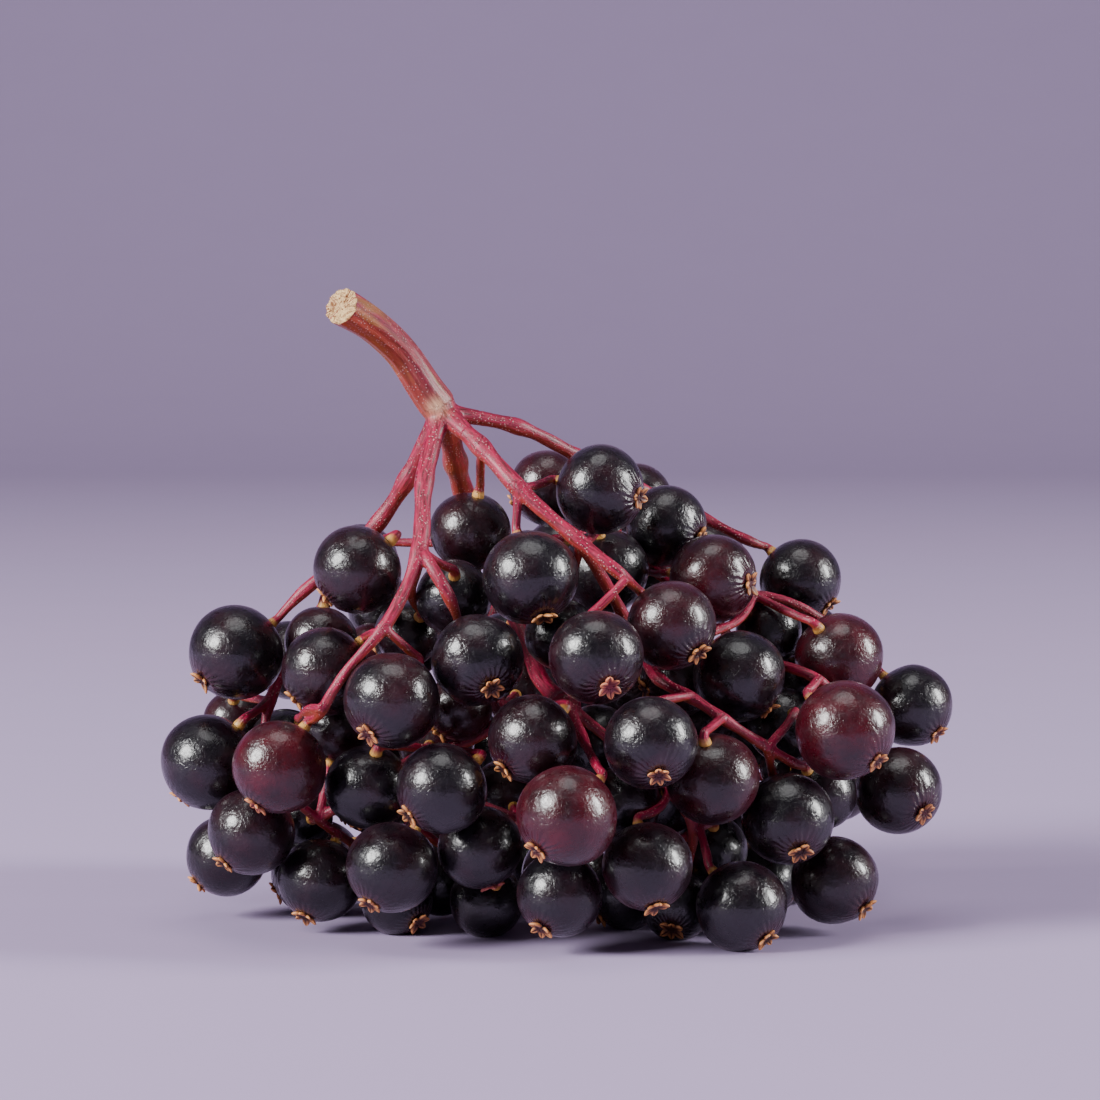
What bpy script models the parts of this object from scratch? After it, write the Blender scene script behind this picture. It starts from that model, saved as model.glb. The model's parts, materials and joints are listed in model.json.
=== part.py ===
"""Elderberry cluster: a head of ripe berries on its branching crimson stalk, lying on a surface.

The tables and the layout are in millimetres, the meshes in metres. +Z is up and the cluster is
seen from -Y. Every berry and fork in front is placed as seen; those behind follow a rule.
"""
import math
from dataclasses import dataclass

import bmesh
import bpy
import numpy as np
from mathutils import Matrix, Vector

for old_object in list(bpy.data.objects):
    bpy.data.objects.remove(old_object, do_unlink=True)

MM = 0.001

# Driving dimensions
VIEW_DISTANCE = 280.0
VIEW_TILT = math.radians(4.0)
VIEW_HEIGHT = 28.3
HORIZON = 30.77
MIDDLE_SHIFT = np.array([-0.7, 2.0, 0.0])

STALK_DIAMETER = 0.78
STALK_END_DIAMETER = 1.10
FORK_SWELLING = 1.25
THICK_BRANCH = 1.2
BEND_TOLERANCE = 0.12
SHORTEST_EDGES = (0.001, 0.0015, 0.0025, 0.0006)
HUB_STUB = 3.0
FORK_STUB = 1.5
NODE_GAP = 0.36
RESTING_SINK = 0.2
RESTING_REACH = 0.6
BERRY_SIDES = 12
BERRY_RINGS = (60.0, 99.0, 137.0)
POLE_RING = 22.0
CROWN_RADIUS = 1.0
CROWN_NOTCH = 0.55
CROWN_NECK = 0.65
CROWN_RISE = 0.25

SPRAY_NAMES = {
    "left": "spray_left",
    "a": "spray_front_left",
    "b": "spray_front_right",
    "c": "spray_upper_right",
    "e": "spray_upper_right",
    "d": "spray_lower_right",
    "t": "spray_centre",
    "m": "spray_centre",
    "p": "spray_back_left",
    "q": "spray_back_right",
    "hub": "peduncle",
}

# Main stalk, from its cut end down to the hub where the rays part: across, up, depth, diameter
PEDUNCLE = [
    (-16.0, 49.5, -13.5, 2.8),
    (-13.7, 48.1, -10.5, 2.55),
    (-11.5, 46.0, -8.0, 2.5),
    (-9.6, 43.2, -6.5, 2.7),
    (-8.3, 41.4, -6.0, 2.9),
]

# Forks: name, the fork it grows from, across, up, depth, diameter of the branch to it
FORKS = [
    ("a_1", "hub", -9.8, 36.3, -10.0, 1.50),
    ("a_2", "a_1", -9.8, 30.6, -14.0, 1.40),
    ("a_3", "a_2", -12.6, 24.6, -16.5, 1.05),
    ("a_4", "a_3", -17.5, 18.6, -17.0, 0.85),
    ("a_5", "a_2", -7.5, 26.9, -16.0, 1.05),
    ("b_1", "hub", -5.3, 38.8, -8.5, 1.50),
    ("b_2", "b_1", -2.5, 35.5, -11.0, 1.40),
    ("b_3", "b_2", 2.1, 31.2, -12.5, 1.20),
    ("b_4", "b_3", 5.9, 28.6, -14.0, 1.05),
    ("c_1", "hub", -2.3, 40.4, -4.0, 1.25),
    ("c_2", "c_1", 2.3, 37.9, -1.0, 1.15),
    ("c_3", "c_2", 6.2, 35.8, 4.0, 1.10),
    ("c_4", "c_3", 11.7, 33.3, 6.0, 1.00),
    ("c_5", "c_4", 15.5, 31.3, 5.0, 0.85),
    ("c_8", "c_3", 7.3, 29.4, 3.0, 0.85),
    ("c_9", "c_8", 11.9, 26.9, 2.0, 0.95),
    ("c_6", "c_9", 15.9, 26.9, -1.5, 0.90),
    ("c_7", "c_6", 24.0, 23.5, 1.0, 0.80),
    ("d_0", "b_3", 6.3, 24.6, -6.5, 1.05),
    ("d_1", "d_0", 8.5, 21.4, -12.0, 1.00),
    ("d_2", "d_1", 10.8, 19.6, -13.5, 0.95),
    ("d_3", "d_2", 13.2, 17.8, -14.0, 0.90),
    ("d_4", "d_3", 16.7, 15.6, -13.0, 0.85),
    ("d_5", "d_4", 19.2, 14.1, -10.5, 0.80),
    ("e_1", "c_9", 15.0, 23.1, -2.0, 0.95),
    ("e_2", "e_1", 20.8, 21.0, -8.0, 0.90),
    ("e_3", "e_2", 23.1, 19.2, -3.0, 0.85),
    ("e_4", "e_1", 19.2, 13.8, -2.0, 0.85),
    ("t_1", "hub", -7.3, 37.5, -2.0, 1.90),
    ("t_2", "t_1", -6.5, 34.6, 2.0, 1.80),
    ("t_3", "t_2", -5.4, 31.2, 4.0, 1.70),
    ("m_1", "t_3", 1.4, 18.8, -10.5, 1.50),
    ("m_2", "m_1", 2.5, 16.3, -14.0, 0.95),
    ("m_4", "m_1", -3.5, 18.8, -11.0, 0.90),
    ("m_5", "m_4", -9.2, 15.8, -10.0, 0.95),
    ("m_6", "m_5", -10.4, 9.6, -8.0, 0.90),
    ("m_7", "m_1", -2.3, 10.0, -9.0, 1.00),
    ("m_8", "m_1", 8.6, 12.2, -12.5, 0.95),
    ("m_9", "m_8", 11.5, 9.4, -11.0, 0.90),
    ("m_10", "m_5", -17.8, 10.0, -7.0, 0.85),
    ("left_1", "hub", -11.0, 36.0, -4.5, 1.45),
    ("left_2", "left_1", -13.3, 32.6, -3.5, 1.35),
    ("left_3", "left_2", -15.6, 30.2, -3.5, 1.25),
    ("left_4", "left_3", -19.2, 27.5, -3.5, 1.05),
    ("left_5", "left_3", -16.9, 26.9, -1.0, 0.95),
    ("left_6", "left_5", -21.7, 19.2, -2.0, 1.00),
]

# Berries in sight: fork, across, up, depth, diameter, and which way the calyx crown looks
# (across, up, and 1 towards the viewer or -1 away), or None where the crown is out of sight
BERRIES = [
    ("left_3", -14.5, 29.4, -9.0, 6.7, (-0.76, -0.64, 1)),
    ("b_1", -6.1, 32.2, -3.0, 6.2, (-0.20, -0.95, -1)),
    ("c_3", -0.2, 35.5, 5.0, 6.0, None),
    ("b_2", 3.8, 35.2, -7.0, 6.8, (0.90, -0.10, 1)),
    ("c_4", 8.6, 32.5, 2.0, 6.4, (0.85, -0.22, 1)),
    ("c_8", 12.7, 28.3, -4.0, 6.8, (0.85, 0.00, 1)),
    ("c_5", 19.3, 28.5, 5.0, 6.5, (0.69, -0.65, 1)),
    ("c_6", 21.3, 22.5, -3.0, 6.8, (0.73, -0.60, -1)),
    ("c_7", 27.8, 18.8, -1.0, 6.4, (0.62, -0.66, 1)),
    ("b_4", 9.3, 24.8, -12.0, 6.7, (0.62, -0.55, 1)),
    ("e_2", 22.7, 16.9, -12.0, 7.5, (0.63, -0.58, 1)),
    ("c_6", 14.5, 21.1, -9.0, 7.0, (0.68, -0.73, 1)),
    ("b_2", -1.4, 28.5, -13.0, 7.1, (0.27, -0.82, 1)),
    ("a_5", -5.7, 22.6, -15.0, 6.8, (0.43, -0.72, 1)),
    ("b_4", 3.9, 21.9, -18.0, 6.9, (0.22, -0.47, 1)),
    ("a_3", -12.0, 19.2, -17.0, 7.1, (-0.53, -0.64, 1)),
    ("left_4", -24.0, 22.9, -5.0, 7.3, (-0.73, -0.56, 1)),
    ("left_5", -17.8, 23.8, -3.0, 5.6, None),
    ("a_3", -17.3, 21.2, -10.0, 6.7, (-0.63, -0.76, 1)),
    ("left_6", -25.6, 14.2, -5.0, 7.4, (-0.78, -0.67, 1)),
    ("a_4", -20.8, 15.7, -0.5, 5.9, None),
    ("a_4", -20.0, 13.9, -13.5, 7.0, (-0.67, -0.66, 1)),
    ("m_5", -14.3, 12.7, -11.0, 6.4, (-0.14, -0.91, -1)),
    ("m_5", -8.5, 12.8, -18.0, 6.7, (-0.66, -0.67, 1)),
    ("m_10", -22.6, 9.1, -9.0, 6.6, (-0.65, -0.61, 1)),
    ("left_6", -24.9, 7.2, -2.0, 6.3, (-0.72, -0.69, 1)),
    ("m_10", -17.8, 5.7, -8.0, 6.4, (-0.30, -0.90, 1)),
    ("m_6", -11.9, 6.4, -15.0, 6.8, (-0.53, -0.75, 1)),
    ("m_6", -12.2, 4.5, -8.0, 5.5, (0.58, -0.70, 1)),
    ("m_6", -8.6, 5.4, -3.5, 5.7, None),
    ("m_7", -5.2, 7.5, -13.0, 6.3, (0.31, -0.92, 1)),
    ("m_7", -4.9, 4.0, -9.0, 5.6, None),
    ("m_4", -2.2, 16.2, -17.0, 6.6, (-0.48, -0.72, 1)),
    ("m_2", 1.3, 10.3, -22.0, 7.3, (-0.62, -0.64, 1)),
    ("m_7", 0.7, 4.2, -17.0, 6.3, (-0.44, -0.72, 1)),
    ("d_2", 7.5, 16.0, -19.0, 6.8, (0.22, -0.61, 1)),
    ("d_3", 12.5, 13.0, -15.0, 6.9, (0.23, -0.87, -1)),
    ("d_4", 17.5, 10.5, -13.0, 6.9, (0.44, -0.70, 1)),
    ("m_8", 7.5, 6.4, -18.0, 6.6, (0.18, -0.86, 1)),
    ("m_9", 14.7, 3.7, -15.0, 6.8, (0.50, -0.75, 1)),
    ("e_4", 21.8, 5.9, -8.0, 6.7, (0.62, -0.68, 1)),
    ("e_3", 25.7, 12.2, -5.0, 6.7, (0.80, -0.36, 1)),
    ("d_5", 21.2, 11.8, -6.5, 5.7, None),
    ("m_9", 5.8, 4.4, -6.0, 5.5, None),
    ("m_9", 9.8, 3.8, -10.5, 5.3, None),
    ("m_9", 11.8, 7.2, -6.5, 5.6, None),
    ("m_8", 6.2, 11.5, -13.0, 5.6, None),
    ("m_4", -6.5, 18.1, -10.5, 5.0, None),
    ("b_3", 0.9, 24.2, -8.5, 5.5, None),
    ("b_3", 4.3, 29.2, -2.0, 6.7, None),
    ("a_2", -8.0, 27.1, -8.5, 5.7, None),
    ("a_2", -10.9, 24.3, -4.5, 4.9, None),
    ("c_6", 17.4, 24.5, -1.0, 5.2, None),
    ("d_4", 18.1, 17.3, -5.0, 5.7, None),
    ("left_6", -24.0, 17.5, 3.3, 4.9, None),
]

# Berries out of sight: an outer shell round the back, and room for others between and inside
SHELL_CENTRE = np.array([1.0, -1.0, 13.0])
SHELL_AXES = np.array([26.0, 19.5, 22.5])
SHELLS = [
    (84, 1.0, -1.0, False),
    (171, 0.97, -1.0, True),
    (34, 0.60, -9.0, True),
]
HIDDEN_LOW = 3.1
HIDDEN_HIGH = 35.0
HIDDEN_RADIUS = (2.9, 3.5)
COVER_MARGIN = 0.9

# Inner berries above this height, or this far to a side, can be told from outside
INNER_SHOWN_ABOVE = 12.0
INNER_SHOWN_BEYOND = 20.0
SEED = 11


@dataclass
class Fork:
    name: str
    parent: int
    place: np.ndarray
    diameter: float
    spray: str


@dataclass
class Berry:
    fork: int
    centre: np.ndarray
    radius: float
    axis: np.ndarray
    seen: bool
    inner: bool = False
    crown_shows: bool = False


@dataclass
class Strand:
    spray: str
    start: int
    end: int
    berry: int
    points: np.ndarray
    diameter: float


def unit(vector):
    return vector / max(float(np.linalg.norm(vector)), 1e-9)


def seen_at(across, up, depth):
    """Turn a place in the view, in mm at the view distance, into a place in space."""
    height = up - HORIZON
    tilt_sin = math.sin(VIEW_TILT)
    tilt_cos = math.cos(VIEW_TILT)
    rise = height * (1.0 + depth * tilt_cos / VIEW_DISTANCE) - depth * tilt_sin
    rise /= tilt_cos + height / VIEW_DISTANCE * tilt_sin
    distance = VIEW_DISTANCE + depth * tilt_cos - rise * tilt_sin
    return np.array([across * distance / VIEW_DISTANCE, depth, VIEW_HEIGHT + rise])


def view_of(place):
    """Turn a place in space into its place in the view and the scale there."""
    rise = place[2] - VIEW_HEIGHT
    tilt_sin = math.sin(VIEW_TILT)
    tilt_cos = math.cos(VIEW_TILT)
    distance = VIEW_DISTANCE + place[1] * tilt_cos - rise * tilt_sin
    scale = VIEW_DISTANCE / distance
    height = (rise * tilt_cos + place[1] * tilt_sin) * scale
    return np.array([place[0] * scale, HORIZON + height]), scale


def read_forks():
    """List the hub and the forks in sight."""
    across, up, depth, diameter = PEDUNCLE[-1]
    forks = [Fork("hub", -1, seen_at(across, up, depth), diameter, "peduncle")]
    number = {"hub": 0}
    for name, parent, across, up, depth, diameter in FORKS:
        number[name] = len(forks)
        spray = SPRAY_NAMES[name.split("_")[0]]
        forks.append(Fork(name, number[parent], seen_at(across, up, depth), diameter, spray))
    return forks, number


def crown_axis(calyx, reach, noise):
    """Point the calyx as seen, or away from where the stalk comes from if it is out of sight."""
    if calyx is not None:
        across, up, facing = calyx
        away = math.sqrt(max(0.0, 1.0 - across * across - up * up))
        return unit(np.array([across, -facing * away, up]))
    return unit(0.8 * unit(reach) + np.array([0.0, 0.0, -0.45]) + 0.25 * noise)


def read_berries(forks, number, draw):
    """List the berries in sight."""
    berries = []
    for fork, across, up, depth, diameter, calyx in BERRIES:
        centre = seen_at(across, up, depth)
        reach = centre - forks[number[fork]].place
        axis = crown_axis(calyx, reach, draw.normal(size=3))
        crown_shows = calyx is not None
        berries.append(
            Berry(number[fork], centre, diameter / 2.0, axis, True, crown_shows=crown_shows)
        )
    return berries


def shell_directions(count):
    """Spread directions evenly over a sphere."""
    steps = np.arange(count) + 0.5
    heights = 1.0 - 2.0 * steps / count
    turns = steps * math.pi * (3.0 - math.sqrt(5.0))
    rings = np.sqrt(1.0 - heights**2)
    return np.stack([rings * np.cos(turns), heights, rings * np.sin(turns)], axis=1)


def is_covered(centre, radius, berries):
    """Say whether the berries in sight hide a berry at this place."""
    middle, scale = view_of(centre)
    discs = []
    for berry in berries:
        if berry.seen:
            place, berry_scale = view_of(berry.centre)
            discs.append((place, berry.radius * berry_scale + COVER_MARGIN))
    for step in range(12):
        turn = step * math.tau / 12
        rim = middle + radius * scale * np.array([math.cos(turn), math.sin(turn)])
        if not any(np.linalg.norm(rim - place) < reach for place, reach in discs):
            return False
    return True


def add_hidden_berries(berries, draw):
    """Fill the back of the head with an outer shell, then the room between and inside."""
    for count, size, front, inner in SHELLS:
        for direction in shell_directions(count):
            radius = draw.uniform(*HIDDEN_RADIUS)
            centre = SHELL_CENTRE + SHELL_AXES * size * direction + draw.normal(size=3) * 0.5
            noise = draw.normal(size=3)
            if centre[1] < front:
                continue
            centre[2] = np.clip(centre[2], HIDDEN_LOW, HIDDEN_HIGH)
            clear = all(
                np.linalg.norm(centre - other.centre) > radius + other.radius - 0.4
                for other in berries
            )
            if clear and is_covered(centre, radius, berries):
                axis = crown_axis(None, centre * np.array([1.0, 1.2, 0.0]), noise)
                berries.append(Berry(-1, centre, radius, axis, False, inner))


def stalk_end(berry, beyond):
    """The place on the crown's opposite side, some way beyond the skin."""
    return berry.centre - berry.axis * (berry.radius + beyond)


def grow(forks, berries, start, members, letter, diameter):
    """Branch from a fork towards a group of berries, halving it until three or fewer are left."""
    origin = forks[start].place
    ends = np.array([stalk_end(berries[member], 1.5) for member in members])
    reach = 0.55 if len(members) <= 3 else 0.42
    place = origin + (ends.mean(axis=0) - origin) * reach
    spray = SPRAY_NAMES[letter]
    forks.append(Fork(f"{letter}_{len(forks)}", start, place, diameter, spray))
    fork = len(forks) - 1
    if len(members) <= 3:
        for member in members:
            berries[member].fork = fork
        return
    spread = ends - ends.mean(axis=0)
    main_axis = np.linalg.svd(spread)[2][0]
    order = np.argsort(spread @ main_axis)
    half = len(members) // 2
    for group in (order[:half], order[half:]):
        chosen = [members[index] for index in group]
        grow(forks, berries, fork, chosen, letter, max(0.85, diameter - 0.2))


def join_hidden_berries(forks, number, berries):
    """Give the hidden berries forks of their own, and hang the inner ones on the nearest fork."""
    outer = [index for index, berry in enumerate(berries) if not berry.seen and not berry.inner]
    left = [index for index in outer if berries[index].centre[0] < 0.0]
    right = [index for index in outer if berries[index].centre[0] >= 0.0]
    grow(forks, berries, number["t_3"], left, "p", 1.35)
    grow(forks, berries, number["t_3"], right, "q", 1.35)
    places = np.array([fork.place for fork in forks])
    for berry in berries:
        if berry.inner:
            gaps = np.linalg.norm(places - stalk_end(berry, 1.5), axis=1)
            gaps[0] = 99.0
            berry.fork = int(np.argmin(gaps))


def curve(start, end, start_pull, end_pull, count):
    """Points on a smooth curve that leaves and arrives along the given pulls."""
    along = np.linspace(0.0, 1.0, count)[:, None]
    squared = along**2
    cubed = along**3
    return (
        (2 * cubed - 3 * squared + 1) * start
        + (cubed - 2 * squared + along) * start_pull
        + (3 * squared - 2 * cubed) * end
        + (cubed - squared) * end_pull
    )


def draw_strands(forks, berries):
    """Draw the branches between forks and the stalks to the berries."""
    strands = []
    for index, fork in enumerate(forks):
        if fork.parent < 0:
            continue
        parent = forks[fork.parent]
        reach = fork.place - parent.place
        length = np.linalg.norm(reach)
        arriving = reach
        if parent.parent >= 0:
            arriving = parent.place - forks[parent.parent].place
        leaving = unit(unit(arriving) * 0.35 + unit(reach)) * length
        count = max(4, int(round(length / 1.2)) + 1)
        points = curve(parent.place, fork.place, leaving, reach, count)
        strands.append(Strand(fork.spray, fork.parent, index, -1, points, fork.diameter))
    for index, berry in enumerate(berries):
        fork = forks[berry.fork]
        end = stalk_end(berry, -0.6)
        length = np.linalg.norm(end - fork.place)
        leaving = unit(end - fork.place) * length * 0.8
        count = max(5, int(round(length / 1.1)) + 2)
        points = curve(fork.place, end, leaving, berry.axis * length * 0.8, count)
        points[-2] = stalk_end(berry, 0.55)
        strands.append(Strand(fork.spray, berry.fork, -1, index, points, STALK_DIAMETER))
    return strands


class Settling:
    """Moves berries, crowns and stems apart until none crosses another."""

    STEPS = 260
    PULL_UNTIL = 200

    def __init__(self, forks, berries, strands):
        self.forks = forks
        self.berries = berries
        self.strands = strands
        self.place = []
        self.radius = []
        self.ease = []
        self.pull = []
        self.owner = []
        self.spray = []
        self.is_stem = []
        self.branch_reach = []
        self.add_particles()
        self.place = np.array(self.place)
        self.start = self.place.copy()
        self.radius = np.array(self.radius)
        self.ease = np.array(self.ease)
        self.pull = np.array(self.pull)[:, None]
        self.owner = np.array(self.owner)
        self.spray = np.array(self.spray)
        self.is_stem = np.array(self.is_stem)
        self.low = np.where(self.is_stem, self.radius + 0.2, self.radius)
        self.low[: len(self.berries)] -= RESTING_SINK
        self.near_by_tree = self.find_near_by_tree()

    def add(self, place, radius, ease, pull, owner, spray, is_stem, reach=None):
        self.place.append(place)
        self.radius.append(radius)
        self.ease.append(ease)
        self.pull.append(pull)
        self.owner.append(owner)
        self.spray.append(spray)
        self.is_stem.append(is_stem)
        self.branch_reach.append(reach or {})
        return len(self.place) - 1

    def add_particles(self):
        names = sorted(set(SPRAY_NAMES.values()))
        for index, berry in enumerate(self.berries):
            spray = names.index(self.forks[berry.fork].spray)
            pull = 0.12 if berry.seen else 0.015
            ease = 0.6 if berry.seen else 1.0
            self.add(berry.centre, berry.radius, ease, pull, index, spray, False)
        for index, berry in enumerate(self.berries):
            spray = names.index(self.forks[berry.fork].spray)
            crown = berry.centre + berry.axis * (berry.radius - 0.2)
            pull = 0.05 if berry.seen else 0.0
            self.add(crown, CROWN_RADIUS + 0.08, 0.8, pull, index, spray, False)
        self.fork_at = []
        for index, fork in enumerate(self.forks):
            spray = names.index(fork.spray)
            radius = fork.diameter * 0.6
            self.fork_at.append(
                self.add(fork.place, radius, 1.2, 0.03, -1, spray, True, {index: 0.0})
            )
        self.fork_ease()
        self.paths = []
        for strand in self.strands:
            spray = names.index(strand.spray)
            steps = np.linalg.norm(np.diff(strand.points, axis=0), axis=1)
            along = np.concatenate([[0.0], np.cumsum(steps)])
            path = [self.fork_at[strand.start]]
            last = len(strand.points) - (1 if strand.berry < 0 else 0)
            for step in range(1, last):
                reach = {strand.start: along[step]}
                if strand.end >= 0:
                    reach[strand.end] = along[-1] - along[step]
                tied = strand.berry >= 0 and step >= last - 2
                owner = strand.berry if tied else -1
                path.append(
                    self.add(
                        strand.points[step],
                        strand.diameter / 2.0,
                        2.5,
                        0.02,
                        owner,
                        spray,
                        True,
                        reach,
                    )
                )
            if strand.berry < 0:
                path.append(self.fork_at[strand.end])
            self.paths.append(path)

    def fork_ease(self):
        """The hub stays where it is."""
        self.ease[self.fork_at[0]] = 0.01

    def find_near_by_tree(self):
        """Mark pairs of stem points that are neighbours along the stems."""
        count = len(self.place)
        shortest = np.full((count, count), 99.0, dtype=np.float32)
        for fork in range(len(self.forks)):
            members = [i for i in range(count) if fork in self.branch_reach[i]]
            reach = np.array([self.branch_reach[i][fork] for i in members])
            block = np.ix_(members, members)
            shortest[block] = np.minimum(shortest[block], reach[:, None] + reach[None, :])
        near = shortest < 4.0
        for path in self.paths:
            near[np.ix_(path, path)] = True
        return near

    def find_pairs(self):
        """List the pairs that may touch in the next few steps, with the gap that each keeps."""
        offset = self.place[:, None, :] - self.place[None, :, :]
        distance = np.sqrt((offset**2).sum(axis=2))
        reach = self.radius[:, None] + self.radius[None, :] + 1.6
        same_owner = (self.owner[:, None] == self.owner[None, :]) & (self.owner[:, None] >= 0)
        close = (distance < reach) & ~same_owner & ~self.near_by_tree
        first, second = np.nonzero(np.triu(close, 1))
        same_spray = self.spray[first] == self.spray[second]
        both_stems = self.is_stem[first] & self.is_stem[second]
        gap = np.where(same_spray, 0.12, 0.42)
        gap += np.where(both_stems, 0.20, 0.0)
        return first, second, gap

    def push_apart(self, pairs):
        first, second, gap = pairs
        offset = self.place[first] - self.place[second]
        distance = np.maximum(np.linalg.norm(offset, axis=1), 1e-6)
        need = self.radius[first] + self.radius[second] + gap - distance
        hit = need > 0.0
        first = first[hit]
        second = second[hit]
        share = self.ease[first] / (self.ease[first] + self.ease[second])
        push = offset[hit] / distance[hit][:, None] * need[hit][:, None]
        moved = np.zeros_like(self.place)
        count = np.ones(len(self.place))
        np.add.at(moved, first, push * share[:, None])
        np.add.at(moved, second, -push * (1.0 - share)[:, None])
        np.add.at(count, first, 0.35)
        np.add.at(count, second, 0.35)
        self.place += moved / count[:, None] * 1.1

    def smooth(self, amount):
        for path in self.paths:
            points = self.place[path]
            middle = (points[:-2] + points[2:]) / 2.0
            self.place[path[1:-1]] += (middle - points[1:-1]) * amount

    def rest_low_berries(self):
        """Let the berries that come close to the surface rest on it."""
        count = len(self.berries)
        above = self.place[:count, 2] - self.low[:count]
        self.place[:count, 2] -= np.where(above < RESTING_REACH, above * 0.3, 0.0)

    def tie(self):
        """Keep each crown on its berry, and each stalk's end on the side opposite to it."""
        count = len(self.berries)
        for index, berry in enumerate(self.berries):
            centre = self.place[index]
            berry.axis = unit(self.place[count + index] - centre)
            self.place[count + index] = centre + berry.axis * (berry.radius - 0.2)
        for strand, path in zip(self.strands, self.paths):
            if strand.berry >= 0:
                berry = self.berries[strand.berry]
                centre = self.place[strand.berry]
                self.place[path[-1]] = centre - berry.axis * (berry.radius - 0.6)
                self.place[path[-2]] = centre - berry.axis * (berry.radius + 0.55)

    def run(self):
        hub = self.place[self.fork_at[0]].copy()
        for step in range(self.STEPS):
            if step % 8 == 0:
                pairs = self.find_pairs()
            self.push_apart(pairs)
            if step < self.PULL_UNTIL:
                self.place += (self.start - self.place) * self.pull
                self.smooth(0.25)
            else:
                self.smooth(0.06)
            self.rest_low_berries()
            self.place[:, 2] = np.maximum(self.place[:, 2], self.low)
            self.place[self.fork_at[0]] = hub
            self.tie()
        for index, berry in enumerate(self.berries):
            berry.centre = self.place[index]
        for index, fork in enumerate(self.forks):
            fork.place = self.place[self.fork_at[index]]
        for strand, path in zip(self.strands, self.paths):
            strand.points = self.place[path]


def lay_out():
    """Place every berry, fork and stem of the cluster, all moved to the middle of its footprint."""
    draw = np.random.default_rng(SEED)
    forks, number = read_forks()
    berries = read_berries(forks, number, draw)
    add_hidden_berries(berries, draw)
    join_hidden_berries(forks, number, berries)
    strands = draw_strands(forks, berries)
    Settling(forks, berries, strands).run()
    for berry in berries:
        berry.centre = berry.centre + MIDDLE_SHIFT
    for fork in forks:
        fork.place = fork.place + MIDDLE_SHIFT
    for strand in strands:
        strand.points = strand.points + MIDDLE_SHIFT
    return forks, berries, strands


def resample(points, count):
    """Read evenly spaced points from a line of points."""
    steps = np.linalg.norm(np.diff(points, axis=0), axis=1)
    along = np.concatenate([[0.0], np.cumsum(steps)])
    wanted = np.linspace(0.0, along[-1], count)
    return np.stack([np.interp(wanted, along, points[:, axis]) for axis in range(3)], axis=1)


def cut_between(points, begin, finish):
    """The stretch of a line of points between two lengths along it."""
    steps = np.linalg.norm(np.diff(points, axis=0), axis=1)
    along = np.concatenate([[0.0], np.cumsum(steps)])
    inside = (along > begin + 0.05) & (along < finish - 0.05)
    wanted = np.concatenate([[begin], along[inside], [min(finish, along[-1])]])
    return np.stack([np.interp(wanted, along, points[:, axis]) for axis in range(3)], axis=1)


def new_object(name, mesh_maker, collection):
    """Make an object in a collection from a bmesh in millimetres."""
    bmesh.ops.recalc_face_normals(mesh_maker, faces=mesh_maker.faces[:])
    bmesh.ops.scale(mesh_maker, vec=(MM, MM, MM), verts=mesh_maker.verts[:])
    mesh = bpy.data.meshes.new(name)
    mesh_maker.to_mesh(mesh)
    mesh_maker.free()
    built = bpy.data.objects.new(name, mesh)
    collection.objects.link(built)
    return built


def tube(name, points, radii, sides, collection):
    """A round stem with closed ends that follows a line of points."""
    maker = bmesh.new()
    tangents = np.gradient(points, axis=0)
    side = np.cross(unit(tangents[0]), [0.31, 0.17, 0.93])
    rings = []
    for place, tangent, radius in zip(points, tangents, radii):
        tangent = unit(tangent)
        side = unit(side - tangent * float(side @ tangent))
        other = np.cross(tangent, side)
        ring = []
        for step in range(sides):
            turn = step * math.tau / sides
            offset = side * math.cos(turn) + other * math.sin(turn)
            ring.append(maker.verts.new(place + radius * offset))
        rings.append(ring)
    for lower, upper in zip(rings, rings[1:]):
        for step in range(sides):
            after = (step + 1) % sides
            maker.faces.new((lower[step], lower[after], upper[after], upper[step]))
    maker.faces.new(rings[0][::-1])
    maker.faces.new(rings[-1])
    bmesh.ops.triangulate(maker, faces=maker.faces[:])
    return new_object(name, maker, collection)


def ball(name, place, radius, collection):
    """A small knot that fills a fork."""
    maker = bmesh.new()
    bmesh.ops.create_icosphere(maker, subdivisions=1, radius=radius)
    turn = Matrix.Rotation(0.7, 4, Vector((0.3, 0.8, 0.5)))
    bmesh.ops.transform(maker, matrix=Matrix.Translation(Vector(place)) @ turn, verts=maker.verts)
    return new_object(name, maker, collection)


def ring_of(maker, reaches, heights, sides):
    """A level ring of points whose reach and height may alternate."""
    ring = []
    for step in range(sides):
        turn = step * math.tau / sides
        reach = reaches[step % len(reaches)]
        height = heights[step % len(heights)]
        ring.append(maker.verts.new((reach * math.cos(turn), reach * math.sin(turn), height)))
    return ring


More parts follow.
